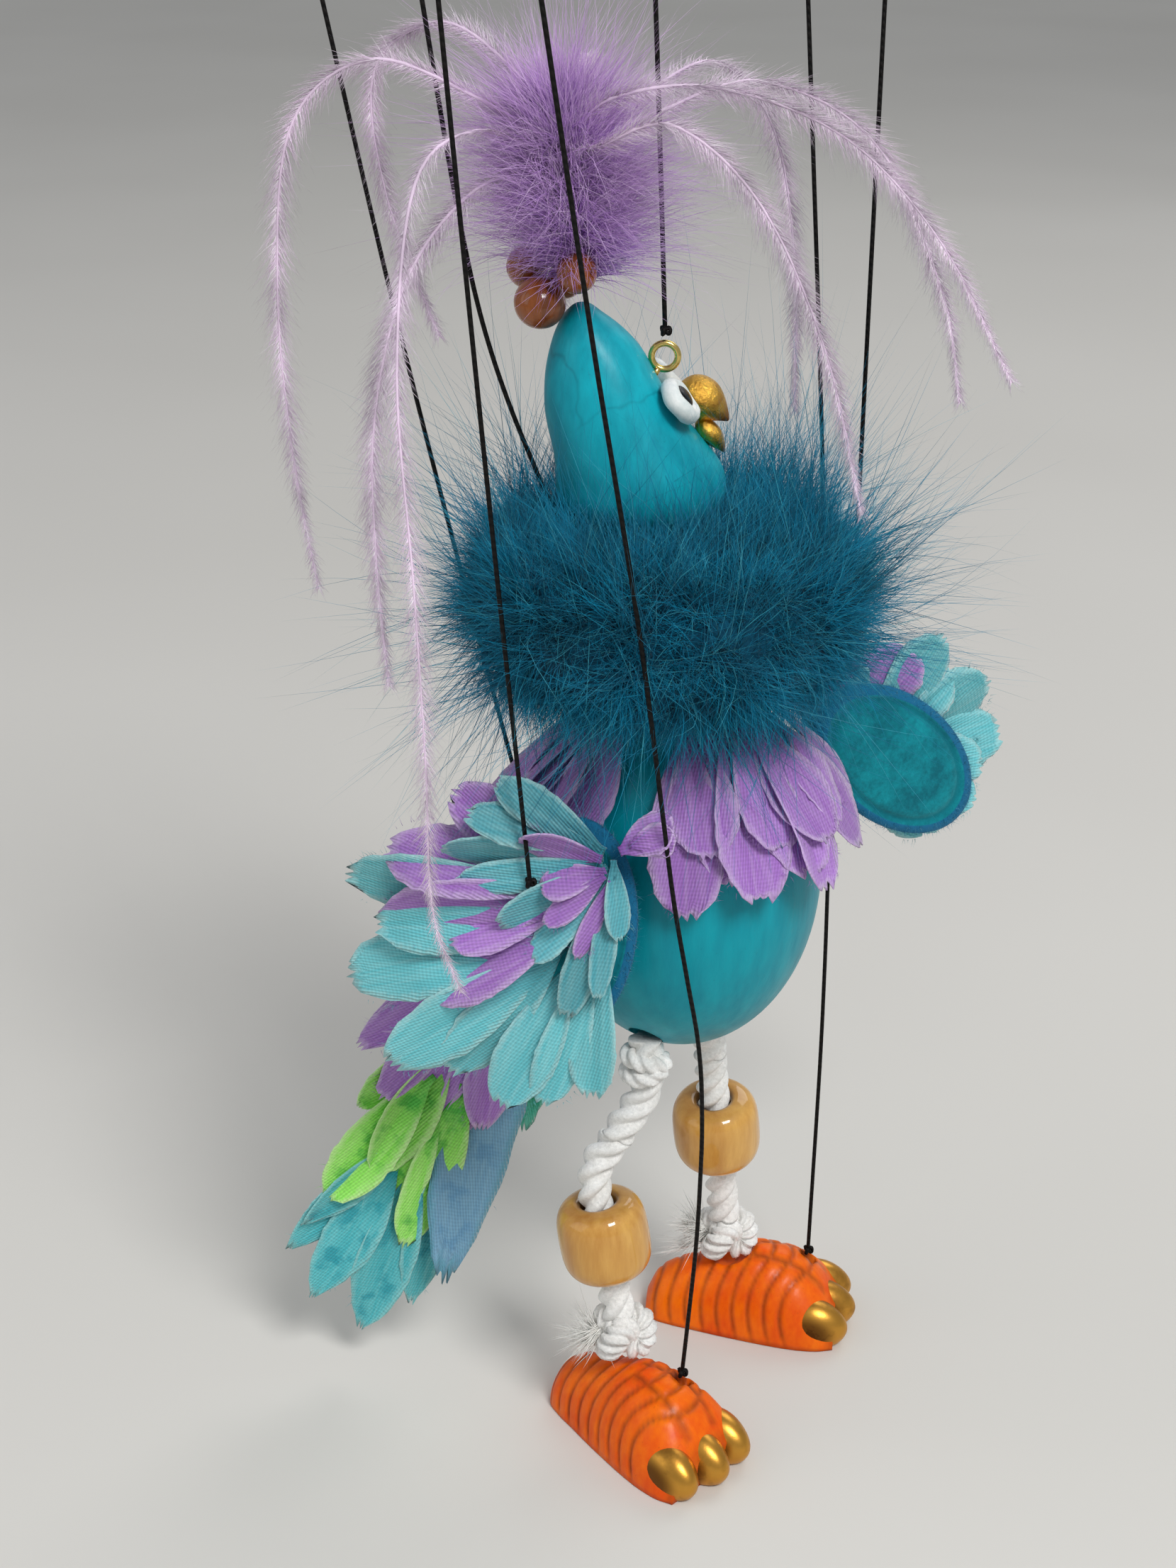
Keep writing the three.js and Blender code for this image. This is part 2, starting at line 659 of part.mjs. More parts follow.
function barrelBead(centre, from, to) {
  const half = beadLength / 2;
  const beadHole = ropeRadius + beadPlay;
  const bulge = Array.from({ length: 7 }, (_, i) => {
    const level = -1 + i / 3;
    const radius = beadHole + 1.5 + (beadRadius - beadHole - 1.5) * (1 - level ** 6) ** 0.6;
    return new THREE.Vector2(radius - 0.6 * level ** 2, level * half);
  });
  const profile = [
    new THREE.Vector2(beadHole, -half),
    ...bulge,
    new THREE.Vector2(beadHole, half),
    new THREE.Vector2(beadHole, -half),
  ];
  const axis = vector(to).sub(vector(from)).normalize();
  const turn = new THREE.Quaternion().setFromUnitVectors(new THREE.Vector3(0, 1, 0), axis);
  return new THREE.LatheGeometry(profile, 16).applyQuaternion(turn).translate(...centre);
}

function addLeg(side) {
  const { hip, knee, ankle, beadDrop, thread, threadEnd } = legs[side];
  const kneeGap = 2 * ropeRadius + gap;
  const shinTop = towards(knee, ankle, kneeGap);
  const shinEnd = towards(ankle, knee, knotRadius + gap + ropeRadius);
  add(side + "_upper_rope", rod(hip, knee, ropeRadius), "rope");
  add(side + "_lower_rope", rod(shinTop, shinEnd, ropeRadius), "rope");
  const beadCentre = towards(knee, ankle, beadDrop);
  add(side + "_leg_bead", barrelBead(beadCentre, ankle, knee), "varnish");
  add(side + "_ankle_knot", ball(ankle, knotRadius, 12, 8), "rope");
  addFoot(side);
  addThread(side + "_foot_thread", [footTie(side), ...thread, threadTop(...threadEnd)], 15);
}

// ---------------------------------------------------------------- threads on screw eyes
const aboveRing = eyeletRing + eyeletWire + gap + tieRadius;

function addBackThread() {
  const [x, y, z] = backEyelet;
  const route = [[-19.6, -5.2, 186], [-21.6, -6.8, 196], [-25.2, -8.9, 204.5], [-36.5, -16, 244]];
  add("back_screw_eye", screwEye(backEyelet, 20, backScrewEnd), "brass");
  addThread("back_thread", [[x, y, z + aboveRing], ...route, threadTop(-46, -21)], 12);
}

function addHeadThread() {
  const [x, y, z] = headEyelet;
  const tie = new THREE.Vector3(x, y, z + aboveRing).applyMatrix4(headFrame).toArray();
  addThread("head_thread", [tie, threadTop(-7, -3.5)], 2);
}

// ---------------------------------------------------------------- the whole puppet
addBody();
addNeckPlug();
addHipRope("right");
addHipRope("left");
addSkirt();
add("boa_collar", ring(boaCentre, boaRingRadius, boaThickness, boaHeight, 20, 10), "teal");
add("neck_rope", rod(neckBase, headPivot, ropeRadius), "rope");
addHead();
addEye("right_eye", 1);
addEye("left_eye", -1);
addBeak();
addHeadEyelet();
addCrest();
addPlume();
addWing("right");
addWing("left");
addTail();
addLeg("right");
addLeg("left");

addBackThread();
addHeadThread();

export default puppet;
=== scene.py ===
"""Dresses a hand-made bird puppet on seven threads: paint, feathers, silk petals, rope, beads and feet.

Sizes are millimetres above the soles, and every mesh is put in the frame's metres as it is finished.
The bird faces +X and its left side is +Y.
"""

import logging
import math
import random
from dataclasses import dataclass, field
from enum import Enum
from typing import Callable, Iterable, Sequence

import bmesh
import bpy
import numpy as np
from mathutils import Matrix, Vector


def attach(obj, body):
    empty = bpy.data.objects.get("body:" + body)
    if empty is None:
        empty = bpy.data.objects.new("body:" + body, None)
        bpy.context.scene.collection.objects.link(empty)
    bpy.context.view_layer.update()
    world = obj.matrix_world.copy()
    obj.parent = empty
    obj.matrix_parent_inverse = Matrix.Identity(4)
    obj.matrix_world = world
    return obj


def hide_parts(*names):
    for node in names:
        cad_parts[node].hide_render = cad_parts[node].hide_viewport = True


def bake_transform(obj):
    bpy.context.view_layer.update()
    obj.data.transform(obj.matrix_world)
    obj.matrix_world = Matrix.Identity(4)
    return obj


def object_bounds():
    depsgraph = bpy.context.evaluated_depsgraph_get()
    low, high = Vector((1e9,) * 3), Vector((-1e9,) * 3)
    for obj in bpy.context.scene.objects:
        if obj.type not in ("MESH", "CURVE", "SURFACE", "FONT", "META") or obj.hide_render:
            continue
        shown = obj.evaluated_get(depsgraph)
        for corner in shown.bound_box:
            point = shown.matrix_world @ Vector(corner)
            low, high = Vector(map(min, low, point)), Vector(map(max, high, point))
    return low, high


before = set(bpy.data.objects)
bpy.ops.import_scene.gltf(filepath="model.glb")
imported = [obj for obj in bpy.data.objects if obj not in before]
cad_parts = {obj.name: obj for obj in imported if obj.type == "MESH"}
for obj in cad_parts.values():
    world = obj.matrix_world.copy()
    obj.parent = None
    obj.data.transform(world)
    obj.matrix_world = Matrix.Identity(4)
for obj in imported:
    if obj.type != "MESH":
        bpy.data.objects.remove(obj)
cad_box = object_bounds()

LOG = logging.getLogger("puppet")
MM = 0.001
HANG_HEIGHT = 312.0
STANDING = Matrix.Translation((0, 0, -HANG_HEIGHT * MM)) @ Matrix.Scale(MM, 4)
Colour = tuple[float, float, float]
Point = Sequence[float]


class Slot(Enum):
    """Material slot names."""

    PAINT = "turquoise_paint"
    SUEDE = "turquoise_suede"
    TEAL_FEATHER = "teal_feather"
    PURPLE = "purple_petal"
    AQUA = "aqua_petal"
    SMALL = "small_petal"
    LIME = "lime_petal"
    SLATE = "slate_felt"
    GREEN = "green_leaf"
    LILAC_FEATHER = "lilac_feather"
    ROPE = "cotton_rope"
    VARNISH = "varnished_wood"
    AMBER = "amber_wood"
    ORANGE = "orange_paint"
    CLAY = "white_clay"
    GOLD = "gold_leaf"
    BRASS = "brass_wire"
    THREAD = "black_thread"


def srgb(red: int, green: int, blue: int) -> Colour:
    """Turns a screen colour of 0 to 255 into the linear colour that a shader takes."""
    channels = (red, green, blue)
    return tuple(((c / 255 + 0.055) / 1.055) ** 2.4 if c > 10 else c / 255 / 12.92 for c in channels)


def standing(point: Point) -> Vector:
    """A point in millimetres above the soles, in the frame's metres."""
    return STANDING @ Vector(point)


# ---------------------------------------------------------------- shader nodes
class Nodes:
    """Adds shader nodes to one tree and joins them."""

    def __init__(self, tree: bpy.types.NodeTree) -> None:
        """Keeps the tree that the nodes go into."""
        self.tree = tree

    def add(self, kind: str, inputs: dict | None = None, **settings) -> bpy.types.Node:
        """Adds a node.

        Args:
            kind: the node's Blender type.
            inputs: values or output sockets for its inputs, by name or number.
            settings: the node's own properties.
        Returns:
            The new node.
        """
        node = self.tree.nodes.new(kind)
        for name, value in settings.items():
            setattr(node, name, value)
        for name, value in (inputs or {}).items():
            self.feed(node.inputs[name], value)
        return node

    def feed(self, socket: bpy.types.NodeSocket, value) -> None:
        """Links an output to a socket, or sets the socket's value."""
        if isinstance(value, bpy.types.NodeSocket):
            self.tree.links.new(value, socket)
        elif socket.type == "RGBA":
            socket.default_value = (*value[:3], 1)
        else:
            socket.default_value = value

    def math(self, operation: str, *values, clamp: bool = False) -> bpy.types.NodeSocket:
        """One Math node's result."""
        node = self.add("ShaderNodeMath", dict(enumerate(values)), operation=operation, use_clamp=clamp)
        return node.outputs[0]

    def mix(self, share, first, second, blend: str = "MIX") -> bpy.types.NodeSocket:
        """A mix of two colours."""
        node = self.add("ShaderNodeMix", data_type="RGBA", blend_type=blend)
        for index, value in ((0, share), (6, first), (7, second)):
            self.feed(node.inputs[index], value)
        return node.outputs[2]

    def spread(
        self, value, low: float, high: float, to_low: float = 0, to_high: float = 1
    ) -> bpy.types.NodeSocket:
        """A value taken from one range to another and held inside it."""
        inputs = {0: value, 1: low, 2: high, 3: to_low, 4: to_high}
        return self.add("ShaderNodeMapRange", inputs, clamp=True).outputs[0]

    def noise(self, vector, scale, detail: float = 3, roughness: float = 0.5) -> bpy.types.NodeSocket:
        """A noise texture's value."""
        inputs = {"Vector": vector, "Scale": scale, "Detail": detail, "Roughness": roughness}
        return self.add("ShaderNodeTexNoise", inputs).outputs[0]

    def place(self, scale: Point = (1, 1, 1)) -> bpy.types.NodeSocket:
        """Object coordinates, stretched."""
        source = self.add("ShaderNodeTexCoord").outputs["Object"]
        return self.add("ShaderNodeMapping", {"Vector": source, "Scale": scale}).outputs[0]

    def attribute(self, name: str) -> bpy.types.NodeSocket:
        """A number that the mesh carries at its points."""
        return self.add("ShaderNodeAttribute", attribute_name=name).outputs["Fac"]


def shader_group(name: str, inputs: dict, outputs: dict, fill: Callable) -> bpy.types.NodeTree:
    """Makes a shader node group once.

    Args:
        name: the group's name.
        inputs: socket types by input name.
        outputs: socket types by output name.
        fill: makes the nodes, given a Nodes and the group's input sockets, and returns the outputs by name.
    Returns:
        The group.
    """
    if name in bpy.data.node_groups:
        return bpy.data.node_groups[name]
    group = bpy.data.node_groups.new(name, "ShaderNodeTree")
    for way, sockets in (("INPUT", inputs), ("OUTPUT", outputs)):
        for socket, kind in sockets.items():
            group.interface.new_socket(socket, in_out=way, socket_type=f"NodeSocket{kind}")
    nodes = Nodes(group)
    source = nodes.add("NodeGroupInput")
    results = fill(nodes, source.outputs)
    nodes.add("NodeGroupOutput", results)
    return group


def mottle_group() -> bpy.types.NodeTree:
    """Two colours clouded into each other at two scales."""

    def fill(nodes: Nodes, given) -> dict:
        """Mixes a coarse and a fine cloud."""
        coarse = nodes.noise(given["Vector"], given["Scale"], 4, 0.6)
        fine = nodes.noise(given["Vector"], nodes.math("MULTIPLY", given["Scale"], 6.5), 3, 0.6)
        both = nodes.math("ADD", nodes.math("MULTIPLY", coarse, 0.7), nodes.math("MULTIPLY", fine, 0.3))
        mask = nodes.spread(both, 0.38, 0.62)
        return {"Colour": nodes.mix(mask, given["First"], given["Second"]), "Mask": mask}

    inputs = {"Vector": "Vector", "Scale": "Float", "First": "Color", "Second": "Color"}
    return shader_group("mottle", inputs, {"Colour": "Color", "Mask": "Float"}, fill)


def weave_group() -> bpy.types.NodeTree:
    """The slanting ribs and cross threads of satin, on a piece's own UV map."""

    def fill(nodes: Nodes, given) -> dict:
        """Crosses two families of sine ridges."""
        parts = nodes.add("ShaderNodeSeparateXYZ", {0: given["Vector"]}).outputs
        along = nodes.math("MULTIPLY", parts[0], given["Along"])
        across = nodes.math("MULTIPLY", parts[1], given["Across"])
        rib = nodes.math("SINE", nodes.math("ADD", across, nodes.math("MULTIPLY", along, 0.35)))
        cross = nodes.math("SINE", along)
        height = nodes.math("ADD", nodes.math("MULTIPLY", rib, 0.65), nodes.math("MULTIPLY", cross, 0.35))
        return {"Height": nodes.spread(height, -1, 1)}

    inputs = {"Vector": "Vector", "Along": "Float", "Across": "Float"}
    return shader_group("satin_weave", inputs, {"Height": "Float"}, fill)


def fray_group() -> bpy.types.NodeTree:
    """A ragged mask that follows a piece's edge."""

    def fill(nodes: Nodes, given) -> dict:
        """Roughens the edge number with noise."""
        centred = nodes.math("SUBTRACT", nodes.noise(given["Vector"], 900, 3, 0.7), 0.5)
        ragged = nodes.math("MULTIPLY", centred, 0.5)
        return {"Mask": nodes.spread(nodes.math("ADD", given["Edge"], ragged), 0.72, 1.05)}

    return shader_group("frayed_edge", {"Vector": "Vector", "Edge": "Float"}, {"Mask": "Float"}, fill)


class Finish:
    """A material with one Principled shader, which its makers fill in."""

    name: str
    gloss = 0.16

    def build(self) -> bpy.types.Material:
        """The material, made the first time it is asked for."""
        name = f"{self.name}_finish"
        material = bpy.data.materials.get(name)
        if material is None:
            material = bpy.data.materials.new(name)
            material.use_nodes = True
            shader = material.node_tree.nodes["Principled BSDF"]
            shader.inputs["Specular IOR Level"].default_value = self.gloss
            self.fill(Nodes(material.node_tree), shader)
        return material

    def fill(self, nodes: Nodes, shader: bpy.types.Node) -> None:
        """Sets the shader up."""
        raise NotImplementedError


def use_group(nodes: Nodes, tree: bpy.types.NodeTree, **inputs) -> bpy.types.Node:
    """A group node with its inputs fed."""
    node = nodes.add("ShaderNodeGroup", node_tree=tree)
    for key, value in inputs.items():
        nodes.feed(node.inputs[key], value)
    return node


def bump(nodes: Nodes, shader: bpy.types.Node, height, depth_mm: float) -> None:
    """Raises a shader's surface by a height of 0 to 1 that stands for a depth in millimetres."""
    inputs = {"Strength": 0.9, "Distance": depth_mm * MM, "Height": height}
    nodes.feed(shader.inputs["Normal"], nodes.add("ShaderNodeBump", inputs).outputs[0])


@dataclass(frozen=True)
class Paint(Finish):
    """Brushed paint with clouds, streaks, fine cracks, an optional stain and painted shade that darkens
    grooves.
    """

    name: str
    light: Colour
    dark: Colour
    crack_and_shade: Colour
    scale: float = 55
    stretch: Point = (1, 1, 0.35)
    roughness: float = 0.42
    stain: Point | None = None
    cracked: bool = False

    def fill(self, nodes: Nodes, shader: bpy.types.Node) -> None:
        """Clouds the paint and lays the cracks, the stain and the painted groove shade over it."""
        place = nodes.place()
        streaks = nodes.place(self.stretch)
        clouds = {"Vector": streaks, "Scale": self.scale, "First": self.dark, "Second": self.light}
        cloud = use_group(nodes, mottle_group(), **clouds)
        colour = cloud.outputs["Colour"]
        speck = nodes.spread(nodes.noise(place, 1400, 2, 0.6), 0.66, 0.78)
        colour = nodes.mix(nodes.math("MULTIPLY", speck, 0.25), colour, self.crack_and_shade)
        if self.cracked:
            bent = nodes.add("ShaderNodeMix", data_type="VECTOR")
            wobble = nodes.add("ShaderNodeTexNoise", {"Vector": place, "Scale": 90.0}).outputs[1]
            for index, value in ((0, 0.012), (4, place), (5, wobble)):
                nodes.feed(bent.inputs[index], value)
            cells = {"Vector": bent.outputs[1], "Scale": 42.0}
            edge = nodes.add("ShaderNodeTexVoronoi", cells, feature="DISTANCE_TO_EDGE").outputs[0]
            line = nodes.spread(edge, 0.0, 0.022, 1, 0)
            here = nodes.spread(nodes.noise(place, 38, 2), 0.5, 0.62)
            strength = nodes.math("MULTIPLY", nodes.math("MULTIPLY", line, here), 0.55)
            colour = nodes.mix(strength, colour, self.crack_and_shade)
        if self.stain:
            away = nodes.add("ShaderNodeVectorMath", {0: place, 1: standing(self.stain)}, operation="DISTANCE")
            near = nodes.spread(away.outputs["Value"], 0.0005, 0.0032, 1, 0)
            blot = nodes.math("MULTIPLY", near, nodes.spread(nodes.noise(place, 1100, 4, 0.7), 0.46, 0.6))
            colour = nodes.mix(blot, colour, srgb(10, 62, 68))
        # Painted shade: where the groove number is high, in carved lines, pits and joins, the colour darkens
        # unevenly to the dark colour.
        groove = nodes.attribute("groove")
        shade_unevenness = nodes.spread(nodes.noise(streaks, 260, 3, 0.7), 0.3, 0.7, 0.45, 1)
        groove_shade = nodes.math("MULTIPLY", nodes.math("MULTIPLY", groove, 1.05), shade_unevenness, clamp=True)
        colour = nodes.mix(groove_shade, colour, self.crack_and_shade)
        nodes.feed(shader.inputs["Base Color"], colour)
        rough = (self.roughness + 0.12, self.roughness - 0.06)
        nodes.feed(shader.inputs["Roughness"], nodes.spread(cloud.outputs["Mask"], 0, 1, *rough))
        shader.inputs["Coat Weight"].default_value = 0.1
        shader.inputs["Coat Roughness"].default_value = 0.22
        swell = nodes.math("MULTIPLY", nodes.noise(place, 90, 2), 1.5)
        brush = nodes.math("ADD", nodes.noise(streaks, 420, 4, 0.65), swell)
        bump(nodes, shader, brush, 0.14)


@dataclass(frozen=True)
class Silk(Finish):
    """Satin petals: fine slanting ribs, pale streaks of painted sheen, a darker root and a frayed pale edge."""

    name: str
    base: Colour
    # The colour of the pale streaks, which are painted sheen
    pale: Colour
    root: Colour
    edge: Colour
    blotch: Colour | None = None
    roughness: float = 0.5
    sheen: float = 0.35

    def fill(self, nodes: Nodes, shader: bpy.types.Node) -> None:
        """Tints each petal along its length and weaves its surface."""
        place = nodes.place()
        surface = nodes.add("ShaderNodeUVMap").outputs[0]
        weave = use_group(nodes, weave_group(), Vector=surface, Along=260.0, Across=120.0)
        fray = use_group(nodes, fray_group(), Vector=place, Edge=nodes.attribute("edge"))
        along = nodes.attribute("along")
        lengthwise = nodes.add("ShaderNodeMapping", {"Vector": surface, "Scale": (1.2, 9, 1)}).outputs[0]
        # Painted sheen: the pale colour is laid along each petal in lengthwise streaks.
        sheen_streak = nodes.spread(nodes.noise(lengthwise, 1.6, 4, 0.6), 0.4, 0.68)
        colour = nodes.mix(nodes.math("MULTIPLY", sheen_streak, 0.5), self.base, self.pale)
        colour = nodes.mix(nodes.spread(along, 0.0, 0.42, 0.8, 0), colour, self.root)
        if self.blotch:
            patch = nodes.spread(nodes.noise(place, 150, 4, 0.6), 0.5, 0.62)
            inner = nodes.math("MULTIPLY", patch, nodes.spread(nodes.attribute("edge"), 0.5, 0.9, 1, 0))
            colour = nodes.mix(nodes.math("MULTIPLY", inner, 0.8), colour, self.blotch)
        tint = nodes.spread(nodes.attribute("tint"), 0, 1, 0.82, 1.12)
        shade = nodes.add("ShaderNodeHueSaturation", {"Color": colour, "Value": tint}).outputs[0]
        thread = nodes.spread(weave.outputs["Height"], 0, 1, 0.78, 1.08)
        shade = nodes.add("ShaderNodeHueSaturation", {"Color": shade, "Value": thread}).outputs[0]
        shade = nodes.mix(nodes.math("MULTIPLY", fray.outputs["Mask"], 0.6), shade, self.edge)
        nodes.feed(shader.inputs["Base Color"], shade)
        rough = (self.roughness + 0.12, self.roughness - 0.08)
        nodes.feed(shader.inputs["Roughness"], nodes.spread(weave.outputs["Height"], 0, 1, *rough))
        shader.inputs["Sheen Weight"].default_value = self.sheen
        shader.inputs["Sheen Roughness"].default_value = 0.35
        bump(nodes, shader, weave.outputs["Height"], 0.16)


@dataclass(frozen=True)
class Feather(Finish):
    """Feather barbs, darker at the root, with some pale ones among them."""

    name: str
    root: Colour
    tip: Colour
    pale: Colour
    pale_share: float = 0.3
    see_through: float = 0.0
    shade: float = 0.86

    def fill(self, nodes: Nodes, shader: bpy.types.Node) -> None:
        """Tints each barb by its own number and by how far along it a point is."""
        tint = nodes.attribute("tint")
        reach = nodes.attribute("along")
        colour = nodes.mix(nodes.spread(reach, 0.1, 0.95), self.root, self.tip)
        colour = nodes.mix(nodes.spread(tint, 1 - self.pale_share, 1, 0, 0.85), colour, self.pale)
        cloud = nodes.spread(nodes.noise(nodes.place(), 95, 3), 0.36, 0.62, self.shade, 1.15)
        colour = nodes.add("ShaderNodeHueSaturation", {"Color": colour, "Value": cloud}).outputs[0]
        nodes.feed(shader.inputs["Base Color"], colour)
        nodes.feed(shader.inputs["Roughness"], nodes.spread(tint, 0, 1, 0.62, 0.42))
        shader.inputs["Sheen Weight"].default_value = 0.04
        if self.see_through:
            nodes.feed(shader.inputs["Alpha"], nodes.spread(reach, 0.3, 1, 1, 1 - self.see_through))


@dataclass(frozen=True)
class Fibre(Finish):
    """Spun cotton, felt or suede: short fibres in two tones with a soft sheen."""

    name: str
    light: Colour
    dark: Colour
    fine: float = 900
    depth: float = 0.25
    sheen: float = 0.6
    rim: Colour | None = None

    def fill(self, nodes: Nodes, shader: bpy.types.Node) -> None:
        """Mottles the fibres, darkens grooves as painted shade and colours the rim band, where there is one."""
        place = nodes.place()
        cloud = use_group(nodes, mottle_group(), Vector=place, Scale=120.0, First=self.dark, Second=self.light)
        fibres = nodes.noise(place, self.fine, 4, 0.75)
        shade = nodes.spread(fibres, 0.3, 0.7, 0.8, 1.12)
        toned = {"Color": cloud.outputs["Colour"], "Value": shade}
        colour = nodes.add("ShaderNodeHueSaturation", toned).outputs[0]
        # Painted shade: the groove number darkens creases towards the dark tone.
        colour = nodes.mix(nodes.math("MULTIPLY", nodes.attribute("groove"), 0.75), colour, self.dark)
        if self.rim:
            colour = nodes.mix(nodes.spread(nodes.attribute("rim"), 0.35, 0.65), colour, self.rim)
        nodes.feed(shader.inputs["Base Color"], colour)
        nodes.feed(shader.inputs["Roughness"], nodes.spread(fibres, 0.3, 0.7, 0.95, 0.75))
        shader.inputs["Sheen Weight"].default_value = self.sheen
        bump(nodes, shader, fibres, self.depth)


@dataclass(frozen=True)
class Wood(Finish):
    """Turned wood under clear varnish, with grain along the bead."""

    name: str
    light: Colour
    dark: Colour
    coat: float = 0.9
    roughness: float = 0.35

    def fill(self, nodes: Nodes, shader: bpy.types.Node) -> None:
        """Draws the grain, darkens the ends a little and paints shade into the mouths of the hole."""
        grain = nodes.noise(nodes.place((1, 1, 0.12)), 420, 5, 0.65)
        broad = nodes.noise(nodes.place((1, 1, 0.3)), 75, 3, 0.5)
        both = nodes.math("ADD", nodes.math("MULTIPLY", grain, 0.45), nodes.math("MULTIPLY", broad, 0.55))
        mask = nodes.spread(both, 0.36, 0.64)
        colour = nodes.mix(mask, self.dark, self.light)
        # Painted shade in the hole's mouths, and a little darkening at the ends, where the groove number is
        # high.
        colour = nodes.mix(nodes.math("MULTIPLY", nodes.attribute("groove"), 0.7), colour, srgb(60, 30, 12))
        nodes.feed(shader.inputs["Base Color"], colour)
        nodes.feed(shader.inputs["Roughness"], nodes.spread(mask, 0, 1, self.roughness + 0.1, self.roughness))
        shader.inputs["Coat Weight"].default_value = self.coat
        shader.inputs["Coat Roughness"].default_value = 0.06
        bump(nodes, shader, grain, 0.04)


@dataclass(frozen=True)
class Metal(Finish):
    """Leaf or wire: crinkled metal that dulls to bronze where it is worn and where the groove number lays
    painted shade.
    """

    name: str
    bright: Colour
    worn: Colour
    roughness: float = 0.3
    crinkle: float = 0.12
    scale: float = 260

    def fill(self, nodes: Nodes, shader: bpy.types.Node) -> None:
        """Crinkles the leaf and mixes the bronze in by noise, for worn patches, and by the groove number, which
        marks the worn beak tip and the painted shade in the toes' gaps.
        """
        place = nodes.place()
        creases = nodes.noise(place, self.scale, 5, 0.7)
        wear_and_shade = nodes.spread(nodes.noise(place, self.scale * 0.5, 4, 0.65), 0.5, 0.66)
        wear_and_shade = nodes.math("ADD", nodes.math("MULTIPLY", wear_and_shade, 0.55), nodes.attribute("groove"), clamp=True)
        nodes.feed(shader.inputs["Base Color"], nodes.mix(wear_and_shade, self.bright, self.worn))
        nodes.feed(shader.inputs["Metallic"], nodes.spread(wear_and_shade, 0, 1, 1, 0.7))
        nodes.feed(shader.inputs["Roughness"], nodes.spread(wear_and_shade, 0, 1, self.roughness, self.roughness + 0.22))
        bump(nodes, shader, creases, self.crinkle)


@dataclass(frozen=True)
class Twine(Finish):
    """Waxed black thread with its twist, on the cord's own UV map or place."""

    name: str
    dark: Colour
    light: Colour

    def fill(self, nodes: Nodes, shader: bpy.types.Node) -> None:
        """Slants the twist along the thread."""
        place = nodes.place()
        parts = nodes.add("ShaderNodeSeparateXYZ", {0: place}).outputs
        up, along = nodes.math("MULTIPLY", parts[2], 4200.0), nodes.math("MULTIPLY", parts[0], 3000.0)
        slant = nodes.math("ADD", up, along)
        twist = nodes.spread(nodes.math("SINE", slant), -1, 1)
        nodes.feed(shader.inputs["Base Color"], nodes.mix(twist, self.dark, self.light))
        nodes.feed(shader.inputs["Roughness"], nodes.spread(nodes.noise(place, 700), 0.3, 0.7, 0.7, 0.45))
        bump(nodes, shader, twist, 0.12)


@dataclass(frozen=True)
class Floor(Finish):
    """Pale seamless paper."""

    name: str = "studio_floor"

    def fill(self, nodes: Nodes, shader: bpy.types.Node) -> None:
        """Keeps the paper matt and very slightly uneven."""
        tone = nodes.spread(nodes.noise(nodes.place(), 3, 2), 0.3, 0.7)
        nodes.feed(shader.inputs["Base Color"], nodes.mix(tone, (0.66, 0.64, 0.6), (0.7, 0.68, 0.64)))
        shader.inputs["Roughness"].default_value = 0.95


HEAD_PAINT = Paint("head_paint", srgb(18, 172, 188), srgb(2, 134, 152), srgb(0, 74, 88), cracked=True)
BODY_PAINT = Paint(
    "body_paint", srgb(2, 158, 172), srgb(0, 128, 146), srgb(4, 84, 96), 45, (1, 1, 0.18), 0.36,
    (19.5, -20.6, 107.5),
)
SUEDE = Fibre(
    "turquoise_suede", srgb(10, 144, 156), srgb(0, 104, 118), 1300, 0.12, 0.08, srgb(22, 104, 144),
)
BOA_FEATHER = Feather(
    "teal_feather", srgb(0, 92, 122), srgb(0, 146, 184), srgb(84, 196, 214), 0.2, 0.0, 0.62,
)
# Dark as painted shade inside the collar: its core ring and the plug across its middle.
BOA_SHADE_CORE = Fibre("teal_shade_core", srgb(2, 84, 112), srgb(0, 48, 70), 800, 0.5, 0.1)
LILAC = Feather("lilac_feather", srgb(184, 138, 214), srgb(222, 186, 232), srgb(244, 226, 248), 0.35, 0.0)
LILAC_CORE = Feather("lilac_core", srgb(158, 106, 206), srgb(200, 154, 224), srgb(226, 198, 238), 0.25)
OSTRICH = Feather(
    "ostrich_feather", srgb(222, 202, 222), srgb(238, 222, 236), srgb(255, 250, 254), 0.5, 0.2,
)
PURPLE = Silk(
    "purple_silk", srgb(168, 118, 200), srgb(204, 174, 224), srgb(112, 66, 150), srgb(220, 200, 232),
)
AQUA = Silk("aqua_silk", srgb(104, 194, 202), srgb(162, 222, 224), srgb(34, 128, 146), srgb(190, 228, 226))
SMALL = Silk("small_silk", srgb(92, 176, 188), srgb(150, 204, 208), srgb(30, 112, 130), srgb(186, 222, 220))
LIME = Silk(
    "lime_silk", srgb(150, 238, 96), srgb(206, 255, 160), srgb(80, 180, 70), srgb(226, 252, 190),
    srgb(70, 180, 70), 0.55,
)
TAIL_AQUA = Silk(
    "tail_silk", srgb(84, 194, 202), srgb(146, 226, 226), srgb(30, 134, 150), srgb(170, 226, 222),
    srgb(48, 162, 176), 0.42,
)
SLATE = Silk(
    "slate_leaf", srgb(116, 160, 188), srgb(138, 180, 202), srgb(80, 136, 156), srgb(72, 158, 172),
    srgb(100, 148, 182), 0.8, 0.3,
)
GREEN = Silk(
    "green_leaf", srgb(62, 164, 140), srgb(110, 194, 170), srgb(30, 120, 100), srgb(120, 200, 180),
    srgb(24, 128, 84), 0.6, 0.4,
)
ROPE = Fibre("cotton_rope", srgb(253, 252, 249), srgb(232, 230, 225), 1500, 0.2, 0.4)
FLUFF = Feather("cotton_fluff", srgb(236, 234, 228), srgb(250, 249, 245), srgb(255, 255, 252), 0.4)
VARNISH = Wood("varnished_bead", srgb(226, 176, 92), srgb(192, 134, 56))
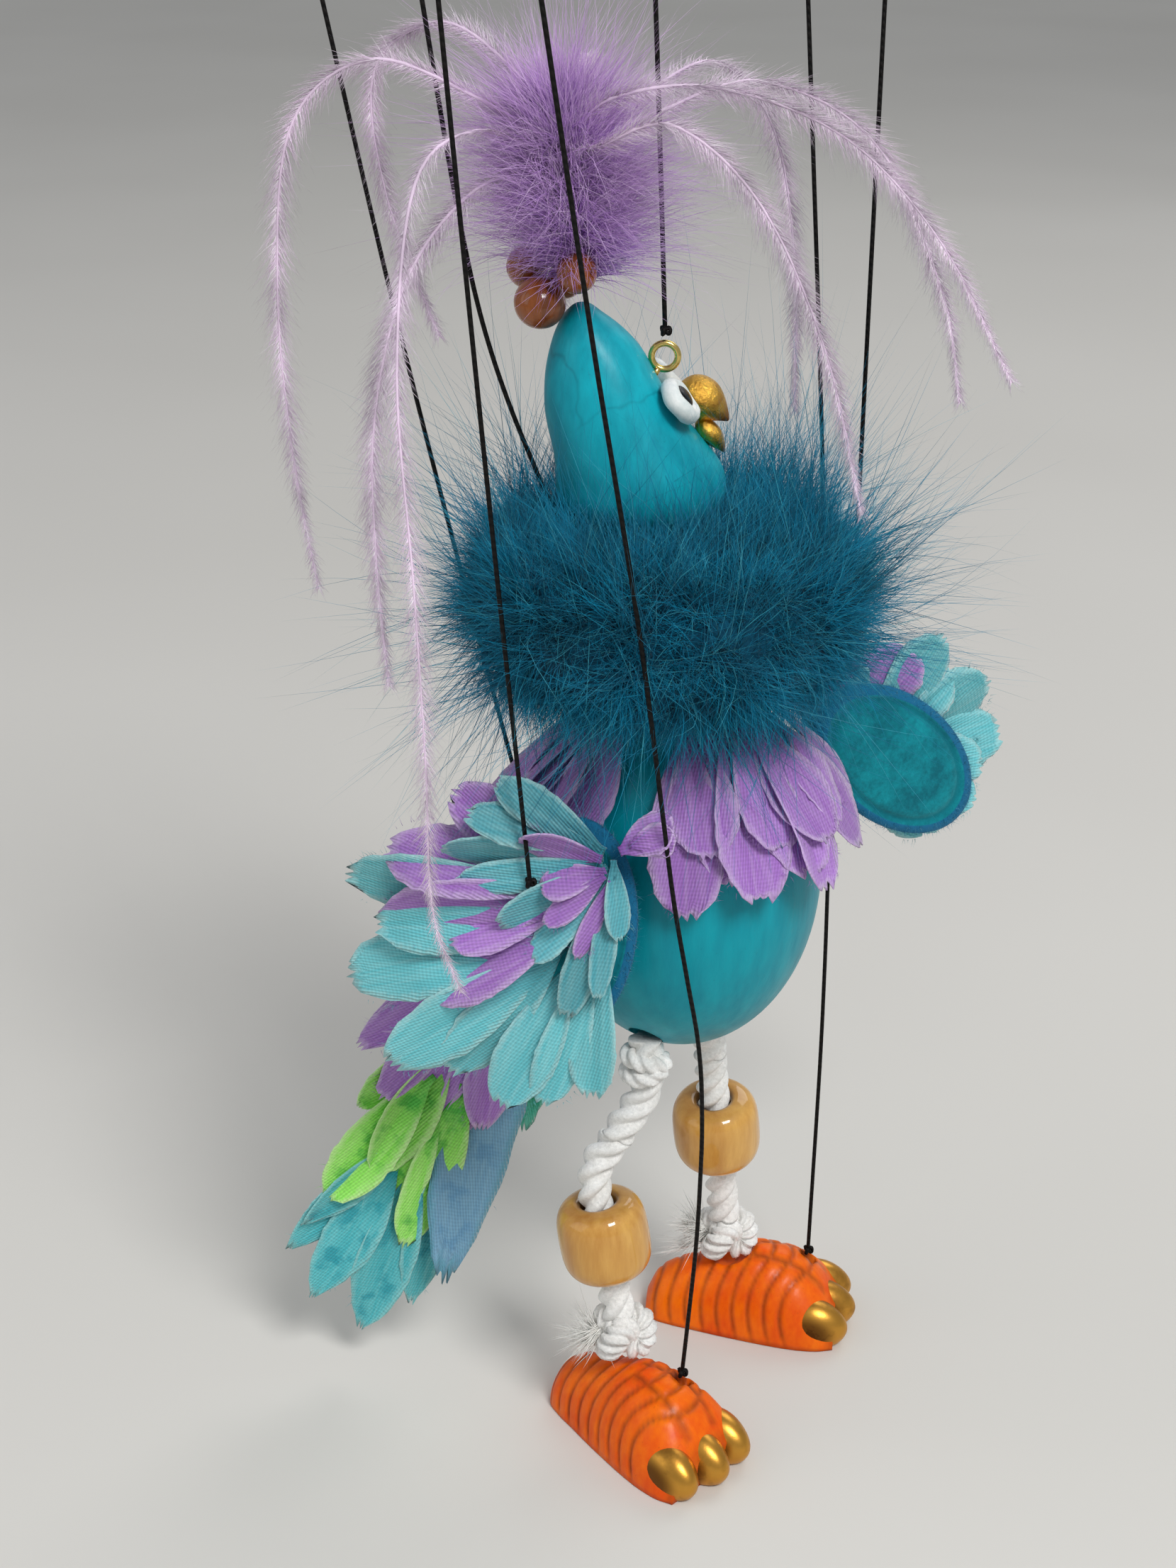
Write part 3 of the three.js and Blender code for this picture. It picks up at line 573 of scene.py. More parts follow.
AMBER = Wood("amber_bead", srgb(172, 92, 24), srgb(96, 48, 14))
# Its third colour darkens cracks and specks, and, as painted shade, the foot's grooves.
ORANGE = Paint("orange_paint", srgb(248, 116, 6), srgb(232, 82, 2), srgb(116, 46, 8), 90, (1, 1, 0.5), 0.4)
CLAY = Paint(
    "white_clay", srgb(238, 240, 236), srgb(206, 216, 214), srgb(140, 150, 148), 160, (1, 1, 1), 0.5,
)
PUPIL = Paint("pupil_paint", srgb(22, 22, 24), srgb(8, 8, 10), srgb(40, 40, 42), 120, (1, 1, 1), 0.18)
GOLD = Metal("gold_leaf", srgb(236, 184, 78), srgb(150, 86, 30), 0.26, 0.5, 750)
# Its worn colour is also the painted shade in the toes' gaps.
TOE_GOLD = Metal("toe_gold", srgb(214, 156, 66), srgb(92, 54, 18), 0.34, 0.08, 200)
BRASS = Metal("brass_wire", srgb(226, 200, 120), srgb(166, 134, 70), 0.2, 0.02, 500)
TWINE = Twine("black_thread", srgb(3, 3, 3), srgb(18, 15, 13))
BLUE_FUZZ = Feather("blue_fuzz", srgb(20, 96, 132), srgb(56, 140, 172), srgb(130, 190, 206), 0.3)


# ---------------------------------------------------------------- meshes
def add_piece(
    name: str,
    mesh: bmesh.types.BMesh | bpy.types.Mesh,
    finish: Finish,
    body: str | None,
    replaces: Iterable[str] = (),
    place: Matrix = STANDING,
) -> bpy.types.Object:
    """Turns a mesh into a finished piece that rides on a body.

    Args:
        name: the piece's name.
        mesh: its shape, in millimetres above the soles.
        finish: its material.
        body: the body that it rides on, or None.
        replaces: the CAD nodes that it stands for.
        place: takes the shape into the frame's metres.
    Returns:
        The piece's object.
    """
    if isinstance(mesh, bmesh.types.BMesh):
        mesh.transform(place)
        data = bpy.data.meshes.new(name)
        mesh.to_mesh(data)
        mesh.free()
    else:
        data = mesh
        data.transform(place)
    data.shade_smooth()
    data.materials.append(finish.build())
    piece = bpy.data.objects.new(name, data)
    bpy.context.scene.collection.objects.link(piece)
    if body:
        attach(piece, body)
    if replaces:
        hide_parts(*replaces)
    LOG.info("%s: %d faces, on %s", name, len(data.polygons), body)
    return piece


def face_outwards(mesh: bmesh.types.BMesh) -> bmesh.types.BMesh:
    """Merges doubles and points every face out."""
    bmesh.ops.remove_doubles(mesh, verts=mesh.verts, dist=1e-4)
    bmesh.ops.recalc_face_normals(mesh, faces=mesh.faces)
    return mesh


def number_layer(mesh: bmesh.types.BMesh, name: str):
    """The mesh's layer of one number at each point, made if it isn't there."""
    return mesh.verts.layers.float.get(name) or mesh.verts.layers.float.new(name)


def smooth_path(points: Sequence[Point], count: int) -> list[Vector]:
    """Points at even steps of length on a smooth curve through the given points.

    Args:
        points: the points that the curve goes through.
        count: how many points to give back.
    Returns:
        The points, first and last included.
    """
    knots = [Vector(p) for p in points]
    ends = [knots[0] * 2 - knots[1], *knots, knots[-1] * 2 - knots[-2]]
    dense = []
    for before, start, end, after in zip(ends, ends[1:], ends[2:], ends[3:]):
        for step in range(24):
            t = step / 24
            square = (2 * before - 5 * start + 4 * end - after) * t**2
            cube = (3 * start - before - 3 * end + after) * t**3
            dense.append(0.5 * ((2 * start) + (end - before) * t + square + cube))
    dense.append(knots[-1])
    lengths = np.cumsum([0.0] + [(b - a).length for a, b in zip(dense, dense[1:])])
    wanted = np.linspace(0, lengths[-1], count)
    columns = [np.interp(wanted, lengths, [p[axis] for p in dense]) for axis in range(3)]
    return [Vector(row) for row in zip(*columns)]


def path_frames(path: Sequence[Vector]) -> list[Matrix]:
    """A frame at each point of a path, with +Z along the path and as little twist as can be."""
    frames = []
    side = Vector((1, 0, 0))
    for index, point in enumerate(path):
        ahead = path[min(index + 1, len(path) - 1)] - path[max(index - 1, 0)]
        ahead.normalize()
        if index == 0:
            side = ahead.orthogonal()
        side = (side - ahead * side.dot(ahead)).normalized()
        third = ahead.cross(side)
        frames.append(Matrix((side, third, ahead)).transposed().to_4x4())
        frames[-1].translation = point
    return frames


def grow_ring(mesh: bmesh.types.BMesh, ring: list, edges: list) -> tuple[list, list]:
    """Extrudes a ring of edges once.

    Args:
        mesh: the mesh that it belongs to.
        ring: the ring's points in order.
        edges: the ring's edges.
    Returns:
        The new ring's points, in the same order, and its edges.
    """
    order = {vert: place for place, vert in enumerate(ring)}
    grown = bmesh.ops.extrude_edge_only(mesh, edges=edges)["geom"]
    fresh = {g for g in grown if isinstance(g, bmesh.types.BMVert)}
    new_edges = [g for g in grown if isinstance(g, bmesh.types.BMEdge) and set(g.verts) <= fresh]
    matched: list = [None] * len(ring)
    for vert in fresh:
        for edge in vert.link_edges:
            other = edge.other_vert(vert)
            if other in order:
                matched[order[other]] = vert
    return matched, new_edges


def sweep(
    mesh: bmesh.types.BMesh,
    path: Sequence[Vector],
    outline: Callable[[float], float],
    sides: int = 12,
    turns: float = 0.0,
    thickness: Callable[[float], float] = lambda share: 1.0,
    closed: bool = False,
) -> None:
    """Sweeps a section along a path by extruding its first ring step by step.

    Args:
        mesh: takes the swept shape.
        path: the points that it follows.
        outline: the section's radius at an angle.
        sides: the section's number of sides.
        turns: how often the section turns between the ends.
        thickness: a factor on the radius at a share of the length.
        closed: whether the last ring meets the first.
    """
    frames = path_frames(path)
    ring = bmesh.ops.create_circle(mesh, segments=sides, radius=1)["verts"]
    angles = [math.atan2(v.co.y, v.co.x) for v in ring]
    edges = list({e for v in ring for e in v.link_edges})
    first = list(ring)

    def settle(verts: Sequence[bmesh.types.BMVert], index: int) -> None:
        """Puts one ring in its place on the path."""
        share = index / (len(path) - 1)
        twist = Matrix.Rotation(2 * math.pi * turns * share, 4, "Z")
        for vert, angle in zip(verts, angles):
            radius = outline(angle) * thickness(share)
            flat = Vector((radius * math.cos(angle), radius * math.sin(angle), 0))
            vert.co = frames[index] @ (twist @ flat)

    settle(ring, 0)
    last = len(path) - (1 if closed else 0)
    for index in range(1, last):
        ring, edges = grow_ring(mesh, ring, edges)
        settle(ring, index)
    if closed:
        start = [e for e in {e for v in first for e in v.link_edges} if all(v in first for v in e.verts)]
        bmesh.ops.bridge_loops(mesh, edges=start + edges)
    else:
        for loop in (first, ring):
            bmesh.ops.contextual_create(mesh, geom=loop)


def trefoil(centre: Vector, size: float, loop: float, rise: float, steps: int) -> list[Vector]:
    """The closed path of an overhand knot.

    Args:
        centre: the knot's middle.
        size: the scale of the whole knot.
        loop: how far its loops stand out.
        rise: how far its crossings pass over each other.
        steps: how many steps the path takes.
    Returns:
        The points, the first repeated at the end.
    """
    path = []
    for t in (math.tau * i / steps for i in range(steps + 1)):
        x = math.sin(t) + loop * math.sin(2 * t)
        y = math.cos(t) - loop * math.cos(2 * t)
        path.append(centre + size * Vector((x, y, -rise * math.sin(3 * t))))
    return path


def strand_outline(radius: float, strands: int = 3) -> Callable[[float], float]:
    """The section of a laid rope: the outside of its strands, side by side round the middle."""
    offset, thick = 0.5 * radius, 0.57 * radius
    slice_angle = 2 * math.pi / strands

    def outline(angle: float) -> float:
        """How far the nearest strand reaches at an angle."""
        near = (angle + slice_angle / 2) % slice_angle - slice_angle / 2
        return offset * math.cos(near) + math.sqrt(max(0.0, thick**2 - (offset * math.sin(near)) ** 2))

    return outline


class Barbs:
    """Thousands of thin tapering hairs made from one small template."""

    def __init__(self, seed: int, segments: int = 3, sides: int = 3) -> None:
        """Starts an empty bunch.

        Args:
            seed: makes the bunch the same each time.
            segments: lengths that each hair is divided into.
            sides: sides of each hair.
        """
        self.rng = np.random.default_rng(seed)
        self.rows: list[np.ndarray] = []
        shape = bmesh.new()
        bmesh.ops.create_cone(shape, cap_ends=True, segments=sides, radius1=1, radius2=0, depth=1)
        bmesh.ops.translate(shape, verts=shape.verts, vec=(0, 0, 0.5))
        for cut in range(1, segments):
            geom = list(shape.verts) + list(shape.edges) + list(shape.faces)
            bmesh.ops.bisect_plane(shape, geom=geom, plane_co=(0, 0, cut / segments), plane_no=(0, 0, 1))
        bmesh.ops.remove_doubles(shape, verts=shape.verts, dist=1e-5)
        bmesh.ops.triangulate(shape, faces=shape.faces)
        bmesh.ops.recalc_face_normals(shape, faces=shape.faces)
        self.verts = np.array([v.co for v in shape.verts])
        shape.verts.index_update()
        self.faces = np.array([[v.index for v in f.verts] for f in shape.faces])
        shape.free()

    def add(self, root, way, bend, length, radius, tint) -> None:
        """Adds hairs, each a row of arrays.

        Args:
            root: where each starts.
            way: the direction that each starts in, of length 1.
            bend: how far the tip moves off that line, as a share of the length.
            length: how long each is.
            radius: how thick each is at its root.
            tint: a number of 0 to 1 that varies its colour.
        """
        columns = [np.atleast_2d(root), np.atleast_2d(way), np.atleast_2d(bend)]
        count = len(columns[0])
        for values in (length, radius, tint):
            columns.append(np.broadcast_to(np.asarray(values, float), (count,)).reshape(-1, 1))
        self.rows.append(np.hstack(columns))

    def random_ways(self, count: int) -> np.ndarray:
        """Directions spread evenly over a sphere."""
        ways = self.rng.normal(size=(count, 3))
        return ways / np.linalg.norm(ways, axis=1, keepdims=True)

    def mesh(self, name: str) -> bpy.types.Mesh:
        """One mesh of all the hairs, with each point's tint and place along its hair."""
        table = np.vstack(self.rows)
        root, way, bend = table[:, 0:3], table[:, 3:6], table[:, 6:9]
        length, radius, tint = table[:, 9:10], table[:, 10:11], table[:, 11]
        helper = np.where(np.abs(way[:, 2:3]) < 0.9, [[0.0, 0.0, 1.0]], [[1.0, 0.0, 0.0]])
        side = np.cross(way, helper)
        side /= np.linalg.norm(side, axis=1, keepdims=True)
        third = np.cross(way, side)
        x, y, z = (self.verts[:, i][None, :, None] for i in range(3))
        spine = root[:, None] + way[:, None] * (length[:, None] * z) + bend[:, None] * (length[:, None] * z**2)
        girth = radius[:, None]
        points = spine + side[:, None] * (x * girth) + third[:, None] * (y * girth)
        count, corners = points.shape[:2]
        faces = (self.faces[None] + (np.arange(count) * corners)[:, None, None]).reshape(-1, 3)
        data = bpy.data.meshes.new(name)
        data.vertices.add(count * corners)
        data.vertices.foreach_set("co", points.astype(np.float32).ravel())
        data.loops.add(faces.size)
        data.loops.foreach_set("vertex_index", faces.astype(np.int32).ravel())
        data.polygons.add(len(faces))
        data.polygons.foreach_set("loop_start", np.arange(0, faces.size, 3, dtype=np.int32))
        data.update(calc_edges=True)
        values = {"tint": np.repeat(tint, corners), "along": np.tile(self.verts[:, 2], count)}
        for key, value in values.items():
            data.attributes.new(key, "FLOAT", "POINT").data.foreach_set("value", value.astype(np.float32))
        return data


def smoothstep(low: float, high: float, value: float) -> float:
    """0 below low, 1 above high and a smooth turn between them."""
    share = min(1.0, max(0.0, (value - low) / (high - low)))
    return share * share * (3 - 2 * share)


def frame_of(origin: Point, along: Point, across: Point) -> Matrix:
    """A frame whose +X runs along and whose +Y lies nearest to across."""
    x = Vector(along).normalized()
    z = x.cross(Vector(across)).normalized()
    y = z.cross(x)
    turned = Matrix((x, y, z)).transposed().to_4x4()
    turned.translation = Vector(origin)
    return turned


# ---------------------------------------------------------------- petals
@dataclass
class Petals:
    """Silk petals of one colour on one body, with their frayed threads."""

    name: str
    finish: Finish
    body: str
    slot: Slot
    replaces: tuple[str, ...]
    seed: int
    cup: float = 0.16
    thickness: float = 0.32
    fray: int = 16
    ruffle: float = 0.05
    widest: float = 1.55
    blunt: float = 0.48
    held: str = "gathered"
    mesh: bmesh.types.BMesh = field(default_factory=bmesh.new)

    def __post_init__(self) -> None:
        """Opens the layers that every petal writes to."""
        self.rng = random.Random(self.seed)
        self.uv = self.mesh.loops.layers.uv.new("UVMap")
        self.layers = {key: number_layer(self.mesh, key) for key in ("along", "edge", "tint")}
        self.barbs = Barbs(self.seed)
        self.area = 0.0
        self.width = 0.0
        self.length = 0.0

    def outline(self, share: float) -> float:
        """Half the petal's width at a share of its length, as a share of the widest."""
        swell = max(0.0, math.sin(math.pi * min(1.0, share**self.widest * 0.972))) ** self.blunt
        return max(0.24 * (1 - share) ** 2, swell)

    def add(self, place: Matrix, length: float, width: float, droop: float = 0.2, lift: float = 0.0) -> None:
        """Adds one petal that starts at the origin of place and runs along its +X.

        Args:
            place: the petal's frame.
            length: from root to tip.
            width: at the widest.
            droop: how far it curls down along its length, in radians.
            lift: how far its tip twists, in radians.
        """
        rng = self.rng
        bend = droop + rng.uniform(-0.1, 0.14)
        bend = bend if abs(bend) > 0.02 else 0.02
        cup = self.cup * rng.uniform(0.2, 1.3)
        wave = rng.uniform(0, math.tau)
        skew = rng.uniform(-0.12, 0.12)
        tint = rng.random()
        jag = {}
        grid = bmesh.ops.create_grid(self.mesh, x_segments=22, y_segments=8, size=1)["verts"]
        shares = {}
        for vert in grid:
            share, side = (vert.co.x + 1) / 2, vert.co.y
            shares[vert] = (share, side)
            key = (round(share, 3), side > 0)
            jag.setdefault(key, 1 + rng.uniform(-0.055, 0.045) * smoothstep(0.3, 0.8, share))
            half = width / 2 * self.outline(share) * (jag[key] if abs(side) > 0.9 else 1)
            torn = 0.02 * math.cos(side * 9 + wave) + rng.uniform(-0.022, 0.012)
            along = share * (1 + torn * smoothstep(0.88, 1, share))
            angle = bend * along
            rise = cup * half * side**2 + self.ruffle * width * math.sin(share * 6.5 + wave) * side
            rise -= 0.028 * width * math.cos(side * 2.5 * math.pi) * math.sin(math.pi * share)
            rise += lift * side * half * share
            x = length / bend * math.sin(angle) + rise * math.sin(angle)
            z = -length / bend * (1 - math.cos(angle)) + rise * math.cos(angle)
            vert.co = place @ Vector((x, side * half + skew * width * share**2, z))
            vert[self.layers["along"]] = share
            vert[self.layers["edge"]] = max(abs(side) * smoothstep(0, 0.3, share), smoothstep(0.86, 1.0, share))
            vert[self.layers["tint"]] = tint
        for face in {f for v in grid for f in v.link_faces}:
            for loop in face.loops:
                share, side = shares[loop.vert]
                loop[self.uv].uv = (share * length / 34, (side * self.outline(share) + 1) * width / 24)
        steps = [self.outline(i / 40) for i in range(41)]
        self.area += length * width * sum(steps) / 41
        self.width += width
        self.length = max(self.length, length)
        self.add_frays(place, length, width, bend, tint)

    def add_frays(self, place: Matrix, length: float, width: float, bend: float, tint: float) -> None:
        """Pulls loose threads out of one petal's tip and sides."""
        for _ in range(self.fray):
            share = self.rng.uniform(0.8, 0.995)
            side = self.rng.choice((-1, 1)) * self.outline(share) * width / 2
            angle = bend * share
            root = Vector((length / bend * math.sin(angle), side, -length / bend * (1 - math.cos(angle))))
            ahead = self.rng.uniform(0.3, 1.0)
            aside = side / width * 2.2 + self.rng.uniform(-0.6, 0.6)
            way = Vector((ahead, aside, self.rng.uniform(-0.5, 0.5)))
            way = (place.to_3x3() @ way).normalized()
            curl = [self.rng.uniform(-0.5, 0.5) for _ in range(3)]
            self.barbs.add([*(place @ root)], [*way], [curl], self.rng.uniform(0.6, 1.8), 0.055, tint)

    def finish_up(self) -> bpy.types.Object:
        """Gives the petals their thickness and hands them over."""
        piece = add_piece(self.name, self.mesh, self.finish, self.body, self.replaces)
        solid = piece.modifiers.new("thickness", "SOLIDIFY")
        solid.thickness = self.thickness * MM
        solid.offset = 0
        frays = f"{self.name}_frays"
        threads = add_piece(frays, self.barbs.mesh(frays), self.finish, self.body)
        return piece


# ---------------------------------------------------------------- threads
@dataclass
class Thread:
    """A puppet thread with its tie at the bottom and its loop knot at the top."""

    name: str
    body: str
    route: list[tuple[float, float, float]]
    slack_points: int = 18
    radius: float = 0.45

    def build(self) -> None:
        """Makes the thread and its knots."""
        path = [standing(p) for p in smooth_path(self.route, self.slack_points)]
        curve = bpy.data.curves.new(self.name, "CURVE")
        curve.dimensions = "3D"
        curve.bevel_depth = self.radius * MM
        curve.bevel_resolution = 3
        curve.resolution_u = 4
        curve.use_fill_caps = True
        spline = curve.splines.new("BEZIER")
        spline.bezier_points.add(len(path) - 1)
        for point, place in zip(spline.bezier_points, path):
            point.co = place
            point.handle_left_type = point.handle_right_type = "AUTO"
        curve.materials.append(TWINE.build())
        thread = bpy.data.objects.new(self.name, curve)
        bpy.context.scene.collection.objects.link(thread)
        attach(thread, self.body)
        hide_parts(self.name)
        knots = [self.knot("tie", 0), self.knot("loop", -1)]

    def knot(self, kind: str, end: int) -> bpy.types.Object:
        """A small overhand knot at one end of the thread."""
        mesh = bmesh.new()
        centre = Vector(self.route[end])
        path = trefoil(centre, 0.52, 0.9, 1.1, 40)
        sweep(mesh, path, lambda angle: 0.42, 6, closed=True)
        piece = add_piece(f"{self.name}_{kind}", face_outwards(mesh), TWINE, self.body)
        return piece


# ---------------------------------------------------------------- body
@dataclass
class Body:
    """The painted egg, its skirt of petals and the back screw eye."""

    centre: float = 129.0
    radius: float = 28.5
    half_height: float = 39.5
    skirt_radius: float = 17.5
    hips: tuple = ((-0.5, -15.5), (1.0, 14.0))
    rope_hole: float = 3.5
    petal_share: float = 1.14
    # Petals round the top of the body: azimuth, length, width, pitch below level
    petals: tuple = (
        (-146, 33, 13, 38), (-135, 36, 13, 42), (-123, 35, 13, 46), (-110, 26, 12, 48), (-66, 36, 13, 50),
        (-50, 30, 12, 52), (-42, 34, 14, 48), (-27, 32, 13, 46), (-12, 36, 14, 43), (6, 33, 13, 44),
        (24, 28, 12, 44), (92, 33, 13, 46), (112, 34, 13, 46), (131, 32, 13, 46), (150, 34, 13, 46),
        (169, 32, 13, 44),
    )
    under_petals: tuple = (
        (-154, 26, 12, 36), (-140, 28, 12, 36), (-128, 26, 12, 38), (-57, 24, 12, 42), (-34, 25, 12, 38),
        (-19, 27, 12, 36), (-2, 26, 12, 36), (102, 26, 12, 38), (122, 26, 12, 38), (141, 26, 12, 38),
        (160, 26, 12, 38),
    )

    def skin_rise(self, distance: float) -> float:
        """How far the skin is above or below the middle at a distance from the axis."""
        return self.half_height * math.sqrt(max(0.0, 1 - (distance / self.radius) ** 2))

    def build(self) -> None:
        """Makes the egg, the skirt and the screw eye."""
        self.build_egg()
        self.build_skirt()
        ring = Vector((-21.4, -4.2, self.centre + self.skin_rise(math.hypot(21.4, 4.2)) + 8.2))
        screw_eye("back_screw_eye", ring, 20, Vector((-19.4, -3.8, ring.z - 11.6)), "torso", Matrix())
        stopper = bmesh.new()
        bmesh.ops.create_uvsphere(stopper, u_segments=24, v_segments=16, radius=6.2)
        bmesh.ops.translate(stopper, verts=stopper.verts, vec=(-1.5, 0, self.centre + self.half_height - 13))
        add_piece("neck_stopper", stopper, ROPE, "torso")

    def build_egg(self) -> None:
        """The hollow shell, a little uneven, bored for the neck and the two hip ropes."""
        mesh = bmesh.new()
        rng = random.Random(7)
        spans = ((-0.12, 0.12), (-0.12, 0.12), (0.03, 0.1), (0, 6))
        waves = [tuple(rng.uniform(low, high) for low, high in spans) for _ in range(6)]
        for share, flip in ((1.0, False), (0.9, True)):
            made = bmesh.ops.create_uvsphere(mesh, u_segments=96, v_segments=64, radius=1)["verts"]
            for vert in made:
                x, y, z = vert.co
                bulge = sum(0.05 * math.sin(a * 28 * x + b * 28 * y + c * 39 * z + p) for a, b, c, p in waves)
                wide = self.radius * share + bulge
                vert.co = (wide * x, wide * y, self.centre + (self.half_height * share + bulge) * z)
            if flip:
                bmesh.ops.reverse_faces(mesh, faces=list({f for v in made for f in v.link_faces}))
        piece = add_piece("painted_body", mesh, BODY_PAINT, "torso", ("body_shell",))
        bores = [((x, y), self.centre - self.half_height) for x, y in self.hips]
        bores.append(((-1.5, 0), self.centre + self.half_height))
        for (x, y), z in bores:
            cut_hole(piece, (x, y, z), self.rope_hole, 26)

    def build_skirt(self) -> None:
        """Two rounds of petals that hang over the shoulders of the egg."""
        skirt = Petals("silk_skirt", PURPLE, "torso", Slot.PURPLE, ("skirt_petals",), 21)
        top = self.centre + self.skin_rise(self.skirt_radius - 1.2) + 3.2
        for petals, lift in ((self.under_petals, -0.4), (self.petals, 0.5)):
            for azimuth, length, width, pitch in petals:
                place = (
                    Matrix.Rotation(math.radians(azimuth + skirt.rng.uniform(-3, 3)), 4, "Z")
                    @ Matrix.Translation((self.skirt_radius - 1, 0, top + lift))
                    @ Matrix.Rotation(math.radians(pitch), 4, "Y")
                    @ Matrix.Rotation(math.radians(skirt.rng.uniform(-9, 9)), 4, "X")
                )
                skirt.add(place, length, width * self.petal_share, 0.34, skirt.rng.uniform(-0.1, 0.1))
        skirt.finish_up()


def cut_hole(piece: bpy.types.Object, place: Point, radius: float, length: float) -> None:
    """Bores an upright hole through a piece.

    Args:
        piece: the piece, whose mesh is already in place.
        place: the middle of the hole, in millimetres above the soles.
        radius: the hole's radius.
        length: how far the bore reaches in all.
    """
    cutter_mesh = bmesh.new()
    bmesh.ops.create_cone(cutter_mesh, cap_ends=True, segments=32, radius1=radius, radius2=radius, depth=length)
    bmesh.ops.translate(cutter_mesh, verts=cutter_mesh.verts, vec=place)
    cutter_mesh.transform(STANDING)
    data = bpy.data.meshes.new("cutter")
    cutter_mesh.to_mesh(data)
    cutter_mesh.free()
    cutter = bpy.data.objects.new("cutter", data)
    bpy.context.scene.collection.objects.link(cutter)
    cut = piece.modifiers.new("hole", "BOOLEAN")
    cut.operation = "DIFFERENCE"
    cut.object = cutter
    graph = bpy.context.evaluated_depsgraph_get()
    bored = bpy.data.meshes.new_from_object(piece.evaluated_get(graph))
    piece.modifiers.clear()
    piece.data = bored
    bpy.data.objects.remove(cutter)


def screw_eye(
    name: str, centre: Vector, plane_angle: float, stem_end: Vector, body: str, place: Matrix
) -> None:
    """A wire ring on a stem.

    Args:
        name: the CAD node that it stands for.
        centre: the ring's centre.
        plane_angle: the direction of the ring's plane in plan, in degrees.
        stem_end: the end of the stem.
        body: the body that it rides on.
        place: a further frame for head pieces.
    """
    ring_radius, wire = 2.5, 0.65
    mesh = bmesh.new()
    section = bmesh.ops.create_circle(mesh, segments=14, radius=wire)["verts"]
    bmesh.ops.rotate(mesh, verts=section, cent=(0, 0, 0), matrix=Matrix.Rotation(math.pi / 2, 3, "X"))
    bmesh.ops.translate(mesh, verts=section, vec=(ring_radius, 0, 0))
    bmesh.ops.spin(
        mesh, geom=list(mesh.verts) + list(mesh.edges), cent=(0, 0, 0), axis=(0, 0, 1),
        angle=math.tau, steps=40, use_merge=True,
    )
    turn = Matrix.Rotation(math.radians(plane_angle), 4, "Z") @ Matrix.Rotation(math.pi / 2, 4, "X")
    bmesh.ops.transform(mesh, verts=mesh.verts, matrix=Matrix.Translation(centre) @ turn)
    start = centre + (stem_end - centre).normalized() * ring_radius
    sweep(mesh, smooth_path([start, stem_end], 8), lambda angle: wire, 12)
    face_outwards(mesh)
    add_piece(f"{name}_wire", mesh, BRASS, body, (name,), STANDING @ place)


